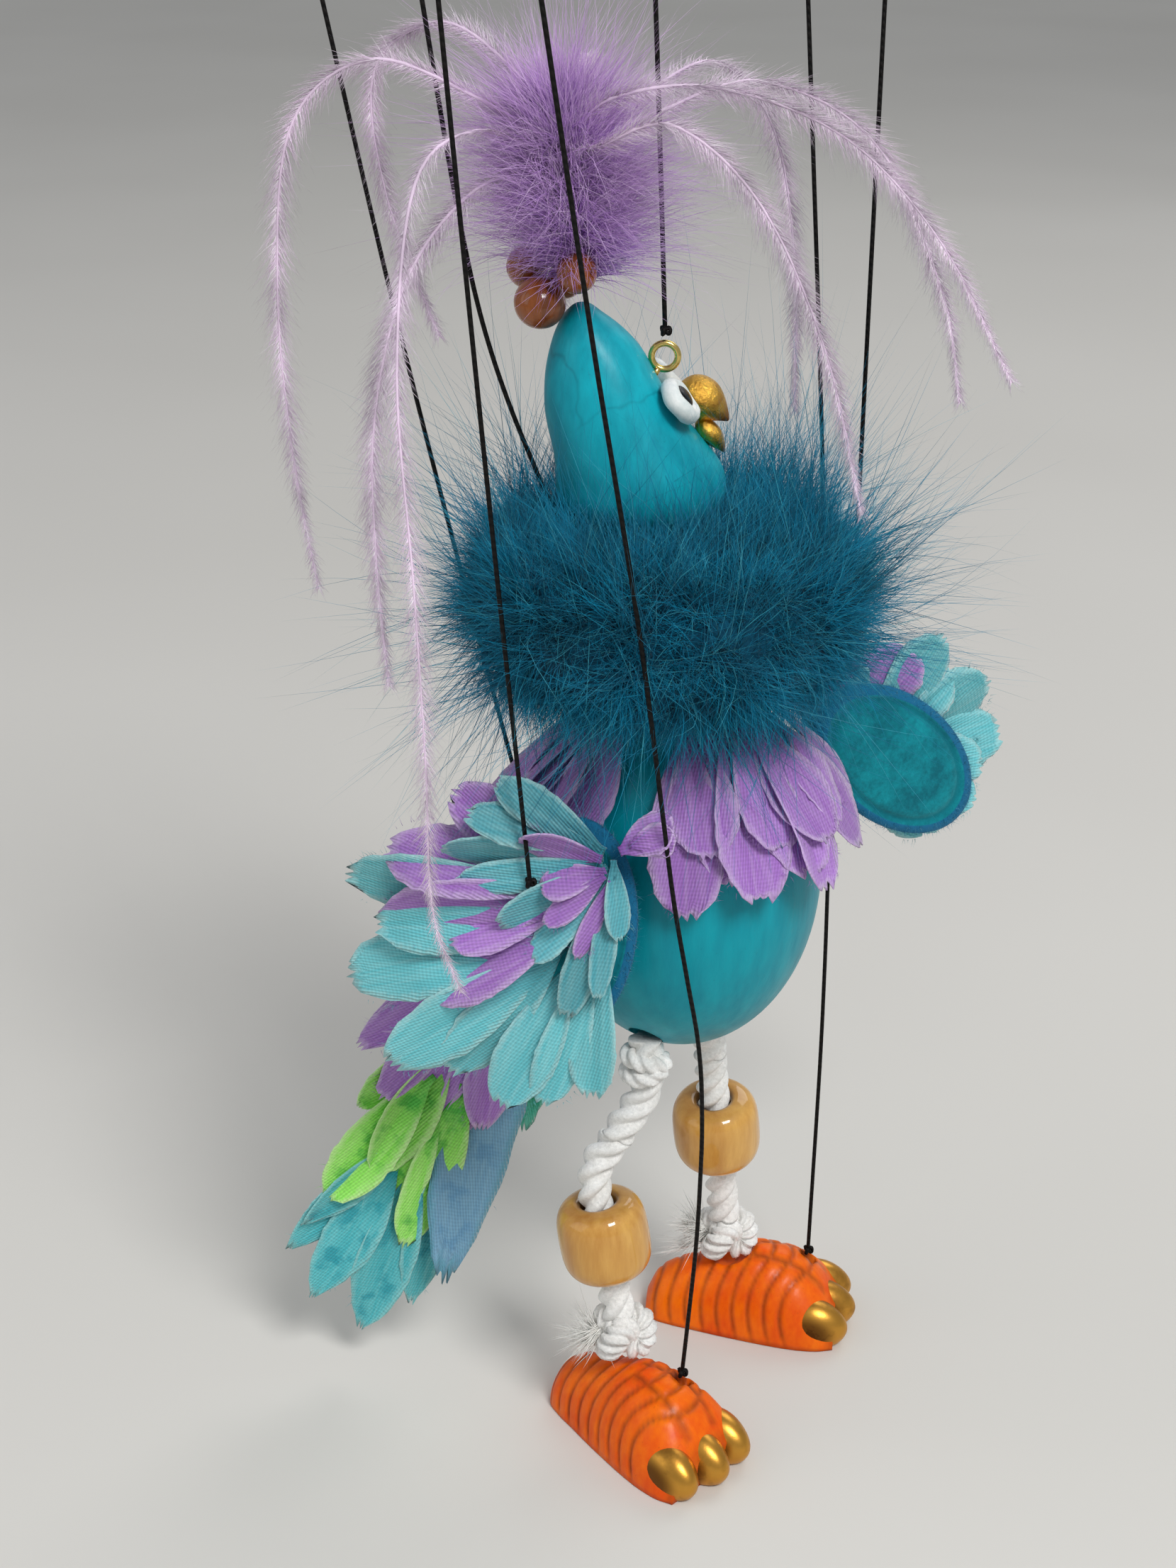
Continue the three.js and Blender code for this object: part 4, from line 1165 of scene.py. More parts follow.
# ---------------------------------------------------------------- boa
@dataclass
class Boa:
    """The feather collar: a padded core, dark as painted shade, under thousands of soft barbs."""

    centre: Vector = field(default_factory=lambda: Vector((-4, 0, 186)))
    ring_radius: float = 29.0
    core_wide: float = 8.0
    core_high: float = 12.5
    bunches: int = 4
    tufts: int = 225
    barbs_per_tuft: int = 44
    # The loose barbs stay inside a box round the boa
    box_centre: tuple = (-11.0, 1.3, 186.0)
    box_half: tuple = (78.0, 73.0)
    # The collar stands highest on this side, behind the beak
    high_side: tuple = (0.94, 0.34, 0.0)

    def build(self) -> None:
        """Makes the core and the bunches of barbs round it."""
        self.build_core()
        for bunch in range(self.bunches):
            self.build_bunch(bunch)
        self.build_wisps()
        self.build_throat()

    def build_core(self) -> None:
        """A lumpy padded ring, dark as painted shade, that closes the view through the barbs."""
        mesh = bmesh.new()
        section = bmesh.ops.create_circle(mesh, segments=28, radius=1)["verts"]
        bmesh.ops.rotate(mesh, verts=section, cent=(0, 0, 0), matrix=Matrix.Rotation(math.pi / 2, 3, "X"))
        for vert in section:
            vert.co = (self.ring_radius + self.core_wide * vert.co.x, 0, self.core_high * vert.co.z)
        bmesh.ops.spin(
            mesh, geom=list(mesh.verts) + list(mesh.edges), cent=(0, 0, 0), axis=(0, 0, 1),
            angle=math.tau, steps=96, use_merge=True,
        )
        for vert in mesh.verts:
            around = math.atan2(vert.co.y, vert.co.x)
            lump = 0.9 * math.sin(7 * around + 0.2 * vert.co.z) + 0.6 * math.sin(17 * around - 0.5 * vert.co.z)
            vert.co *= 1 + lump * 0.012
            vert.co.z += 1.5 * math.sin(2 * around + 1)
        bmesh.ops.translate(mesh, verts=mesh.verts, vec=self.centre)
        add_piece("boa_core", face_outwards(mesh), BOA_SHADE_CORE, "torso", ("boa_collar",))

    def tuft_places(self, rng: np.random.Generator, count: int) -> tuple[np.ndarray, np.ndarray]:
        """Where tufts sit on the core and which way they stand.

        Args:
            rng: the bunch's random numbers.
            count: how many tufts.
        Returns:
            The roots and the outward directions.
        """
        around = rng.uniform(0, math.tau, count)
        section = rng.uniform(-0.62 * math.pi, 0.72 * math.pi, count)
        out = np.stack([np.cos(around), np.sin(around), np.zeros(count)], 1)
        up = np.array([[0.0, 0.0, 1.0]])
        normal = out * np.cos(section)[:, None] + up * np.sin(section)[:, None]
        reach = self.ring_radius + self.core_wide * 0.75 * np.cos(section)
        rise = up * (self.core_high * 0.8 * np.sin(section))[:, None]
        root = out * reach[:, None] + rise + np.array(self.centre)
        return root, normal

    def build_bunch(self, bunch: int) -> None:
        """One piece of short soft barbs, gathered in tufts."""
        barbs = Barbs(100 + bunch)
        rng = barbs.rng
        roots, normals = self.tuft_places(rng, self.tufts)
        for root, normal in zip(roots, normals):
            count = self.barbs_per_tuft
            lean = normal * 0.9 + rng.normal(size=3) * 0.38
            lean[2] += 0.04
            way = lean[None] + rng.normal(size=(count, 3)) * 0.42
            way /= np.linalg.norm(way, axis=1, keepdims=True)
            start = root + rng.normal(size=(count, 3)) * 1.3
            bend = rng.normal(size=(count, 3)) * 0.26 + np.array([0, 0, -0.1])
            length = rng.uniform(5.5, 13.5, count)
            barbs.add(start, way, bend, length, rng.uniform(0.07, 0.13, count), rng.random(count))
        name = f"boa_fluff_{bunch + 1}"
        add_piece(name, barbs.mesh(name), BOA_FEATHER, "torso")

    def build_wisps(self) -> None:
        """Long loose barbs that stand out of the collar, in small fans."""
        barbs = Barbs(140, segments=5)
        rng = barbs.rng
        roots, normals = self.tuft_places(rng, 470)
        for root, normal in zip(roots, normals):
            count = int(rng.integers(5, 12))
            height = 0.2 + 0.55 * max(0.0, float(normal @ np.array(self.high_side)))
            lean = normal + rng.normal(size=3) * 0.34 + np.array([0, 0, height])
            way = lean[None] + rng.normal(size=(count, 3)) * 0.2
            way /= np.linalg.norm(way, axis=1, keepdims=True)
            start = root + rng.normal(size=(count, 3)) * 0.8
            bend = rng.normal(size=(count, 3)) * 0.26 + rng.normal(size=3) * 0.26
            length = rng.uniform(15, 36, count)
            tip = start + (way + bend) * length[:, None] - self.box_centre
            over = np.abs(tip[:, :2]) / np.array(self.box_half)
            length = length / np.maximum(1.0, over.max(axis=1)) ** 1.6
            barbs.add(start, way, bend, length, rng.uniform(0.08, 0.13, count), rng.random(count))
        add_piece("boa_wisps", barbs.mesh("boa_wisps"), BOA_FEATHER, "torso")

    def build_throat(self) -> None:
        """Barbs inside the ring that close it round the head and stand up against the cheeks, over a dark plug
        of painted shade.
        """
        barbs = Barbs(150, segments=4)
        rng = barbs.rng
        count = 7600
        around = rng.uniform(0, math.tau, count)
        reach = rng.uniform(14, self.ring_radius - 2, count)
        out = np.stack([np.cos(around), np.sin(around), np.zeros(count)], 1)
        start = out * reach[:, None] + np.array(self.centre)
        start[:, 2] += rng.uniform(-2, 14, count) + 2 * (out @ np.array(self.high_side))
        fan = rng.normal(size=(90, 3))[rng.integers(0, 90, count)]
        way = out * -0.12 + np.array([0, 0, 1.0]) + fan * 0.28 + rng.normal(size=(count, 3)) * 0.3
        way /= np.linalg.norm(way, axis=1, keepdims=True)
        bend = rng.normal(size=(count, 3)) * 0.24 + out * 0.25
        length = rng.uniform(8, 20, count) * (1.15 + 0.2 * (out @ np.array(self.high_side)))
        barbs.add(start, way, bend, length, rng.uniform(0.06, 0.11, count), rng.random(count))
        add_piece("boa_throat", barbs.mesh("boa_throat"), BOA_FEATHER, "torso")
        # A dark plug across the ring: painted shade under the throat barbs.
        plug = bmesh.new()
        bmesh.ops.create_uvsphere(plug, u_segments=48, v_segments=24, radius=1)
        bmesh.ops.scale(plug, verts=plug.verts, vec=(self.ring_radius, self.ring_radius, 9))
        bmesh.ops.translate(plug, verts=plug.verts, vec=self.centre + Vector((0, 0, 1)))
        add_piece("boa_shade_plug", plug, BOA_SHADE_CORE, "torso")


# ---------------------------------------------------------------- head
@dataclass
class Head:
    """The painted head with its eyes, open beak, screw eye and neck rope."""

    pivot: Vector = field(default_factory=lambda: Vector((-9.2, 0, 204.5)))
    turn: float = 36.0
    eyelet: Vector = field(default_factory=lambda: Vector((3.4, -1, 28.8)))
    screw_end: Vector = field(default_factory=lambda: Vector((-1.6, -1, 20)))
    eye_outward: float = 16.0
    eye_upward: float = 38.0
    # Height above the pivot, back, front and half width, along the gaze
    rows: tuple = (
        (-4.2, -2, 2, 0.01), (-3.8, -8, 7, 7.5), (-1.5, -14, 13, 13), (2, -16.8, 15.8, 15.5),
        (7, -17.4, 14.8, 15.4),
        (11, -18, 12, 14.6), (15.5, -18.7, 8.6, 13.6), (21, -19.2, 4.6, 12.2), (26, -19.1, 1.6, 10.6),
        (30.5, -18.2, -1, 8.8), (34.5, -17, -4.6, 6.6), (37.5, -15.4, -8.4, 4), (39.2, -13.4, -10.8, 1.4),
        (39.5, -12.2, -12, 0.01),
    )

    def __post_init__(self) -> None:
        """Works out the head's own frame."""
        self.frame = Matrix.Translation(self.pivot) @ Matrix.Rotation(math.radians(self.turn), 4, "Z")
        self.place = STANDING @ self.frame

    def build(self) -> None:
        """Makes the shell and everything fixed to it."""
        self.build_shell()
        for side, name in ((1, "right_eye"), (-1, "left_eye")):
            self.build_eye(name, side)
        self.build_beak("beak_upper", (6.4, 0, 22.3), (17.0, 0, 17.0), 11.5, 10.5, 1.0)
        self.build_beak("beak_lower", (10.2, 0, 15.9), (16.0, 0, 9.6), 7.5, 5.2, 0.35)
        screw_eye("head_screw_eye", self.eyelet, -12, self.screw_end, "head", self.frame)
        self.build_neck()

    def build_shell(self) -> None:
        """Rings of the head's outline joined by a smooth curve, with thumb marks left by the maker."""
        mesh = bmesh.new()
        rows = smooth_rows(self.rows, 71)
        bmesh.ops.create_uvsphere(mesh, u_segments=72, v_segments=70, radius=1)
        for vert in mesh.verts:
            share = 1 - math.acos(max(-1, min(1, vert.co.z))) / math.pi
            height, back, front, half = rows[round(share * 70)]
            around = math.atan2(vert.co.y, vert.co.x)
            reach = 1 if math.hypot(vert.co.x, vert.co.y) > 1e-4 else 0
            middle, spread = (front + back) / 2, (front - back) / 2
            dent = 1 + 0.012 * math.sin(3 * around + height * 0.21)
            dent += 0.008 * math.sin(5 * around - height * 0.4)
            along = middle + reach * spread * dent * math.cos(around)
            vert.co = (along, reach * half * dent * math.sin(around), height)
        add_piece("painted_head", mesh, HEAD_PAINT, "head", ("head_shell",), self.place)

    def build_eye(self, name: str, side: int) -> None:
        """A thick clay button with a dark pupil let into its face."""
        outward = Matrix.Rotation(math.radians(-side * self.eye_outward), 4, "Z")
        turn = outward @ Matrix.Rotation(math.radians(-self.eye_upward), 4, "Y")
        facing = turn @ Matrix.Rotation(math.pi / 2, 4, "Y")
        seat = self.place @ Matrix.Translation((4.9, side * -8.2, 22)) @ facing
        back = [(0, -1.7), (3.6, -1.75), (4.5, -1.1), (4.9, 0)]
        profile = back + [(4.6, 1.1), (3.9, 1.75), (3.2, 1.85), (2.6, 1.35), (0, 1.25)]
        clay = turned(profile, 48)
        for vert in clay.verts:
            around = math.atan2(vert.co.y, vert.co.x)
            vert.co.x *= 1 + 0.03 * math.sin(3 * around + side)
            vert.co.z += 0.12 * math.sin(4 * around)
        add_piece(f"{name}_clay", clay, CLAY, "head", (name,), seat)
        pupil = bmesh.new()
        bmesh.ops.create_uvsphere(pupil, u_segments=32, v_segments=16, radius=1)
        bmesh.ops.scale(pupil, verts=pupil.verts, vec=(2.3, 2.6, 0.9))
        bmesh.ops.translate(pupil, verts=pupil.verts, vec=(-0.2, 0, 1.3))
        add_piece(f"{name}_pupil", pupil, PUPIL, "head", (), seat)

    def build_beak(self, node: str, base: Point, tip: Point, wide: float, high: float, hook: float) -> None:
        """Half of the open beak: a swollen, crinkled cone whose tip turns down and dulls to bronze.

        Args:
            node: the CAD node that it stands for.
            base: where it leaves the face.
            tip: its point.
            wide: its width at the base.
            high: its height at the base.
            hook: how far the tip turns down.
        """
        mesh = bmesh.new()
        groove = number_layer(mesh, "groove")
        bmesh.ops.create_uvsphere(mesh, u_segments=40, v_segments=32, radius=1)
        reach = (Vector(tip) - Vector(base)).length
        turn = Vector((1, 0, 0)).rotation_difference(Vector(tip) - Vector(base)).to_matrix().to_4x4()
        for vert in mesh.verts:
            z, x, y = vert.co.z, vert.co.x, vert.co.y
            taper = 0.68 - 0.32 * z + 0.1 * math.cos(z * 2.2)
            crumple = 1 + 0.03 * math.sin(6 * x + 3 * z) * math.cos(5 * y)
            drop = hook * max(0.0, z) ** 2 * 1.6
            aside, up = wide / 2 * y * taper * crumple, high / 2 * x * taper * crumple - drop
            vert.co = (reach / 2 * (z + 1), aside, up)
            vert[groove] = smoothstep(0.35, 0.85, z) * 0.85
        bmesh.ops.transform(mesh, verts=mesh.verts, matrix=Matrix.Translation(base) @ turn)
        add_piece(f"{node}_leaf", face_outwards(mesh), GOLD, "head", (node,), self.place)

    def build_neck(self) -> None:
        """The short rope that the head turns on, hidden in the collar."""
        mesh = bmesh.new()
        path = smooth_path([(-1.5, 0, 171.5), self.pivot - Vector((0, 0, 3))], 30)
        sweep(mesh, path, strand_outline(3.1), 24, 2.2)
        add_piece("neck_strand", face_outwards(mesh), ROPE, "neck", ("neck_rope",))


def smooth_rows(rows: Sequence[Point], count: int) -> list[tuple[float, ...]]:
    """Rows of numbers at even steps on a smooth curve through the given rows.

    Args:
        rows: the rows that the curve goes through.
        count: how many rows to give back.
    Returns:
        The rows, first and last included.
    """
    first = [Vector(row[:3]) for row in rows]
    second = [Vector((row[0], row[3], 0)) for row in rows]
    lengths = np.cumsum([0.0] + [max(0.2, (b - a).length) for a, b in zip(first, first[1:])])
    wanted = lengths[-1] * (0.5 - 0.5 * np.cos(np.pi * np.linspace(0, 1, count)))
    table = np.array([[*a, b[1]] for a, b in zip(first, second)])
    slopes = np.gradient(table, lengths, axis=0)
    result = []
    for place in wanted:
        index = min(len(rows) - 2, max(0, int(np.searchsorted(lengths, place) - 1)))
        span = lengths[index + 1] - lengths[index]
        t = (place - lengths[index]) / span
        h00, h10 = 2 * t**3 - 3 * t**2 + 1, t**3 - 2 * t**2 + t
        h01, h11 = -2 * t**3 + 3 * t**2, t**3 - t**2
        row = h00 * table[index] + h10 * span * slopes[index] + h01 * table[index + 1]
        row = row + h11 * span * slopes[index + 1]
        result.append(tuple(row))
    return result


def turned(profile: Sequence[tuple[float, float]], steps: int) -> bmesh.types.BMesh:
    """A solid turned about +Z from (radius, height) points."""
    mesh = bmesh.new()
    verts = [mesh.verts.new((radius, 0, height)) for radius, height in profile]
    edges = [mesh.edges.new(pair) for pair in zip(verts, verts[1:])]
    bmesh.ops.spin(
        mesh, geom=verts + edges, cent=(0, 0, 0), axis=(0, 0, 1), angle=math.tau, steps=steps, use_merge=True
    )
    return face_outwards(mesh)


# ---------------------------------------------------------------- crest and plume
@dataclass
class Plume:
    """Wooden beads, a soft tuft and nine long ostrich strands on the crown."""

    head: Head
    foot: Vector = field(default_factory=lambda: Vector((-19.2, -7, 246.3)))
    centre: Vector = field(default_factory=lambda: Vector((-22, -9, 271)))
    beads: tuple = (
        ((-20.4, -1.6, 40), 4.9), ((-14.3, -6.8, 46.4), 3.8), ((-14.2, 7.6, 42), 3.6),
        ((-21.5, 6.6, 45), 4.1),
    )
    strands: tuple = (
        ((-34, -20, 282), (-52, -26, 288), (-66, -31, 276), (-70, -32, 246), (-69, -31, 214),
        (-66, -29, 187)),
        ((-31, -10, 285), (-46, -10, 293), (-60, -11, 284), (-58, -12, 262), (-46, -14, 236)),
        (
            (-31, -26, 277), (-34, -42, 270), (-31, -55, 240), (-26, -60, 204), (-24, -61, 170),
            (-24, -60, 140), (-20, -57, 122),
        ),
        ((-34, -23, 265), (-42, -33, 250), (-44, -42, 226), (-42, -46, 200), (-39, -48, 178)),
        ((-11, -13, 282), (6, -4, 284), (26, 8, 275), (42, 17, 256), (55, 24, 230)),
        ((-10, -18, 275), (3, -16, 279), (17, -10, 266), (28, -4, 240), (35, 1, 208)),
        ((-8, 1, 278), (7, 13, 283), (26, 23, 272), (38, 31, 244), (42, 34, 222)),
        ((-26, 6, 276), (-34, 24, 284), (-44, 38, 272), (-50, 45, 244), (-50, 47, 214)),
        ((-16, 6, 278), (-8, 26, 284), (-2, 42, 270), (0, 51, 242), (0, 54, 210)),
    )

    def build(self) -> None:
        """Makes the beads, the tuft and the strands."""
        for number, (place, radius) in enumerate(self.beads, 1):
            self.build_bead(number, place, radius)
        self.build_tuft()
        for number, route in enumerate(self.strands, 1):
            self.build_strand(number, route)

    def build_bead(self, number: int, place: Point, radius: float) -> None:
        """A small round bead with its hole."""
        profile = [(radius * 0.2, -radius * 0.9)]
        profile += [(radius * math.cos(a), radius * math.sin(a) * 0.96) for a in np.linspace(-1.32, 1.32, 23)]
        profile += [(radius * 0.2, radius * 0.9), (radius * 0.2, -radius * 0.9)]
        bead = turned(profile, 40)
        turn = Matrix.Rotation(0.7 * number, 4, "X") @ Matrix.Rotation(0.4 * number, 4, "Y")
        bead.transform(Matrix.Translation(place) @ turn)
        nodes = (f"crest_bead_{number}",)
        add_piece(f"crown_bead_{number}", bead, AMBER, "head", nodes, self.head.place)

    def build_tuft(self) -> None:
        """Soft barbs that burst from the foot of the plume, deeper in colour inside."""
        clouds = (("plume_heart", 201, 9500, 19, LILAC_CORE), ("plume_cloud", 202, 8800, 33, LILAC))
        for name, seed, count, reach, finish in clouds:
            barbs = Barbs(seed, segments=4 if finish is LILAC else 3)
            rng = barbs.rng
            way = barbs.random_ways(count)
            way[:, 2] = np.where(way[:, 2] < -0.35, -way[:, 2], way[:, 2])
            axis = np.array(self.centre - self.foot)
            start = np.array(self.foot) + axis * rng.uniform(0.1, 1.15, (count, 1)) + way * 2.5
            fans = barbs.random_ways(70)[rng.integers(0, 70, count)]
            fans[:, 2] = np.abs(fans[:, 2]) * 0.8
            way = way * 0.6 + fans * 0.8 + np.array([0, 0, 0.22])
            way /= np.linalg.norm(way, axis=1, keepdims=True)
            bend = rng.normal(size=(count, 3)) * 0.24 + np.array([0, 0, -0.22])
            length = reach * rng.uniform(0.4, 1.0, count)
            length *= np.where(rng.random(count) > 0.95, 1.25, 1.0)
            barbs.add(start, way, bend, length, rng.uniform(0.06, 0.11, count), rng.random(count))
            replaced = ("plume_tuft",) if finish is LILAC else ()
            add_piece(name, barbs.mesh(name), finish, "head", replaced)
        stem = bmesh.new()
        path = smooth_path([self.foot, self.centre], 10)
        sweep(stem, path, lambda angle: 1.4, 12, thickness=lambda share: 1 - 0.7 * share)
        add_piece("plume_stem", face_outwards(stem), OSTRICH, "head")

    def build_strand(self, number: int, route: Sequence[Point]) -> None:
        """One ostrich feather: a thin pale quill with angled barbs on both sides."""
        name = f"plume_feather_{number}"
        inner = self.centre + (Vector(route[0]) - self.centre) * 0.2
        path = smooth_path([inner, *route], 60)
        quill = bmesh.new()
        sweep(quill, path, lambda angle: 0.38, 6, thickness=lambda share: 1 - 0.8 * share)
        add_piece(f"{name}_quill", face_outwards(quill), OSTRICH, "head")
        barbs = Barbs(300 + number)
        rng = barbs.rng
        fine = smooth_path([inner, *route], 520)
        down = Vector((0, 0, -1))
        for index in range(20, len(fine) - 1):
            share = index / len(fine)
            ahead = (fine[index + 1] - fine[index]).normalized()
            flank = ahead.cross(Vector((0.91, 0.41, 0)).cross(ahead)).normalized()
            for side in (-1, 1, -1, 1):
                spread = 0.62 + 0.25 * rng.random()
                way = ahead * 0.8 + flank * side * spread + Vector(rng.normal(size=3)) * 0.2 + down * 0.12
                way.normalize()
                swell = 0.55 + 0.75 * math.sin(math.pi * min(1, share + 0.12)) ** 0.5
                size = (2.6 + 2.4 * rng.random()) * swell
                bend = ahead * 0.3 + Vector(rng.normal(size=3)) * 0.16 + down * 0.1
                barbs.add([*fine[index]], [*way], [[*bend]], size, 0.075, rng.random())
        add_piece(name, barbs.mesh(name), OSTRICH, "head", (f"plume_strand_{number}",))


# ---------------------------------------------------------------- wings
@dataclass
class Wing:
    """A suede pad with its sewn edge and three layers of silk petals."""

    side: str
    root: Point
    along: Point
    across: Point
    share: float
    pad_length: float = 46.0
    pad_width: float = 27.0
    pad_thickness: float = 5.2
    layer: float = 1.3
    # Petals of each layer: x, y, angle, length, width
    light: tuple = (
        (20, 12, 84, 42, 14), (26, 12, 64, 45, 15), (30, 11, 44, 43, 14), (32, 7, 18, 36, 12),
        (30, 2, 0, 30, 10),
        (23, 12, 74, 36, 13), (29, 10, 32, 38, 12), (31, 4, 8, 34, 10),
    )
    purple: tuple = (
        (16, 8, 92, 38, 14), (18, 8, 72, 40, 14), (21, 8, 50, 35, 13), (17, 8, 60, 28, 11),
        (12, 6, 108, 30, 12),
    )
    small: tuple = (
        (8, 4, 100, 27, 7), (9, 4, 84, 31, 8), (10, 4, 70, 29, 7), (11, 3, 54, 24, 7), (8, 4, 116, 24, 8),
        (12, 2, 10, 31, 7), (12, 2, -2, 25, 5), (13, 3, 34, 22, 6), (9, 2, -12, 16, 5),
    )
    tiny: tuple = (
        (7, 1, -128, 12, 8), (11, 3, 66, 13, 6), (12, 3, 40, 15, 5), (13, 2, 14, 17, 4),
        (9, 4, 96, 16, 8),
        (5, -1, -112, 9, 7),
    )

    def __post_init__(self) -> None:
        """Works out the wing's frame."""
        self.frame = frame_of(self.root, self.along, self.across)
        self.body = f"{self.side}_wing"

    def build(self) -> None:
        """Makes the pad and the layers of petals in front of it."""
        self.build_pad()
        outer = -(4.6 / 2 + 0.4 + 0.45)
        layers = (
            ("light_petals", AQUA, Slot.AQUA, self.light),
            ("purple_petals", PURPLE, Slot.PURPLE, self.purple),
            ("small_petals", SMALL, Slot.SMALL, self.small),
            ("tiny_petals", PURPLE, Slot.PURPLE, self.tiny),
        )
        for level, (name, finish, slot, table) in enumerate(layers):
            nodes = (f"{self.side}_wing_{name}",) if level < 3 else ()
            seed = 40 + 7 * level + len(self.side)
            petals = Petals(f"{self.side}_silk_{name}", finish, self.body, slot, nodes, seed)
            for number, (x, y, angle, length, width) in enumerate(table):
                depth = outer - level * self.layer - (number % 3) * 0.45
                tilt = petals.rng.uniform(-14, 14)
                place = (
                    self.frame
                    @ Matrix.Translation((x - 4, y - 3, depth))
                    @ Matrix.Rotation(math.radians(angle), 4, "Z")
                    @ Matrix.Rotation(math.radians(180 + tilt), 4, "X")
                )
                curl = 0.12 - 0.16 * level * petals.rng.random()
                twist = petals.rng.uniform(-0.3, 0.3) * (1 + level)
                petals.add(place, length * self.share, width, curl, twist)
            petals.finish_up()

    def build_pad(self) -> None:
        """A stuffed suede lens with a pressed seam, darkened as painted shade, beside its fuzzy blue edge."""
        mesh = bmesh.new()
        groove, rim = number_layer(mesh, "groove"), number_layer(mesh, "rim")
        bmesh.ops.create_uvsphere(mesh, u_segments=96, v_segments=48, radius=1)
        half_length, half_width, half_thick = self.pad_length / 2, self.pad_width / 2, self.pad_thickness / 2
        for vert in mesh.verts:
            x, y, z = vert.co
            away = math.hypot(x, y)
            seam = math.exp(-(((away - 0.8) / 0.045) ** 2))
            plump = math.copysign(abs(z) ** 0.75, z)
            # The seam's crease is darkened in colour as painted shade.
            vert[groove] = seam
            vert[rim] = smoothstep(0.84, 0.9, away)
            depth = (half_thick * plump) * (1 - 0.42 * seam)
            vert.co = (half_length * (x + 1), half_width * y + self.pad_width / 4, depth)
        name, nodes = f"{self.side}_suede_pad", (f"{self.side}_wing_pad",)
        pad = add_piece(name, mesh, SUEDE, self.body, nodes, STANDING @ self.frame)
        barbs = Barbs(60 + len(self.side), segments=2)
        rng = barbs.rng
        count = 3600
        around = rng.uniform(0, math.tau, count)
        ring = rng.uniform(0.86, 0.995, count)
        lift = np.sqrt(1 - ring**2) * half_thick * rng.choice([-1, 1], count)
        along = half_length * (ring * np.cos(around) + 1)
        local = np.stack([along, half_width * ring * np.sin(around) + self.pad_width / 4, lift], 1)
        way = np.stack([np.cos(around), np.sin(around), np.sign(lift) * 0.5], 1)
        way = way + rng.normal(size=(count, 3)) * 0.6
        way /= np.linalg.norm(way, axis=1, keepdims=True)
        bend = rng.normal(size=(count, 3)) * 0.4
        barbs.add(local, way, bend, rng.uniform(0.5, 1.5, count), 0.05, rng.random(count))
        name = f"{self.side}_pad_fuzz"
        add_piece(name, barbs.mesh(name), BLUE_FUZZ, self.body, (), STANDING @ self.frame)


# ---------------------------------------------------------------- tail
@dataclass
class Tail:
    """A strip of leaves and petals that hangs behind: felt at the back, silk in front."""

    root: Point = (-31.5, -2, 125)
    along: Point = (-0.3, -0.24, -0.92)
    across: Point = (-0.8, -0.5, 0.3)
    strip_length: float = 76.0
    layer: float = 1.3
    # Tiers from the top: x, y, angle, length, width
    purple: tuple = (
        (24, 3, 30, 34, 9), (26, 2, 16, 38, 10), (28, 0, 4, 38, 12), (28, -4, -10, 36, 12),
        (26, 2, 38, 28, 9),
        (24, -2, -20, 30, 11), (34, -3, -4, 34, 11),
    )
    lime: tuple = (
        (46, 2, 10, 36, 12), (54, 4, 16, 38, 13), (54, -4, -4, 42, 12), (44, 4, 26, 26, 9),
        (60, 0, 4, 34, 12),
    )
    turquoise: tuple = (
        (72, 5, 16, 38, 10), (76, 3, 7, 41, 12), (76, -2, -3, 46, 13), (72, -6, -11, 40, 11),
        (64, 0, 4, 36, 12), (70, 3, 24, 32, 8),
    )

    def build(self) -> None:
        """Makes the strip, the two long leaves and the three tiers."""
        place = frame_of(self.root, self.along, self.across)
        self.build_strip(place)
        tiers = (
            ("tail_purple_petals", PURPLE, Slot.PURPLE, self.purple, 0.1),
            ("tail_lime_petals", LIME, Slot.LIME, self.lime, 0.34),
            ("tail_turquoise_petals", TAIL_AQUA, Slot.AQUA, self.turquoise, 0.26),
        )
        for level, (node, finish, slot, table, cup) in enumerate(tiers):
            petals = Petals(f"{node}_silk", finish, "tail", slot, (node,), 70 + level, cup=cup)
            petals.fray = 16 if level == 0 else 3
            petals.widest, petals.blunt = ((1.4, 0.55), (1.3, 0.62), (1.15, 0.8))[level]
            for number, (x, y, angle, length, width) in enumerate(table):
                depth = -(3 - level) * self.layer - (number % 3) * 0.4
                flip = math.radians(180 + petals.rng.uniform(-14, 14))
                turn = Matrix.Rotation(math.radians(angle), 4, "Z") @ Matrix.Rotation(flip, 4, "X")
                root = place @ Matrix.Translation((x, y, depth)) @ turn
                petals.add(root, length, width, 0.1, petals.rng.uniform(-0.15, 0.15))
            petals.finish_up()
        leaves = (
            ("tail_slate_leaf", SLATE, Slot.SLATE, 98, 19, 1.6, -9, -1),
            ("tail_green_leaf", GREEN, Slot.GREEN, 64, 15, 3.0, -18, -2),
        )
        for node, finish, slot, length, width, level, angle, y in leaves:
            leaf = Petals(
                f"{node}_felt", finish, "tail", slot, (node,), 80 + length,
                cup=0.08, thickness=0.9, fray=2, held="hung",
            )
            leaf.widest, leaf.blunt = 1.1, 0.62
            turn = Matrix.Rotation(math.radians(angle), 4, "Z")
            leaf.add(place @ Matrix.Translation((2, y, level * self.layer)) @ turn, length, width, 0.06)
            leaf.finish_up()

    def build_strip(self, place: Matrix) -> None:
        """The flat suede strip that the tiers are glued to."""
        mesh = bmesh.new()
        bmesh.ops.create_uvsphere(mesh, u_segments=48, v_segments=24, radius=1)
        half = self.strip_length / 2
        for vert in mesh.verts:
            flat = 0.55 * math.copysign(abs(vert.co.z) ** 0.6, vert.co.z)
            vert.co = (half * (vert.co.x + 1), 4.5 * vert.co.y, flat)
        add_piece("tail_suede_strip", mesh, SUEDE, "tail", ("tail_backing",), STANDING @ place)


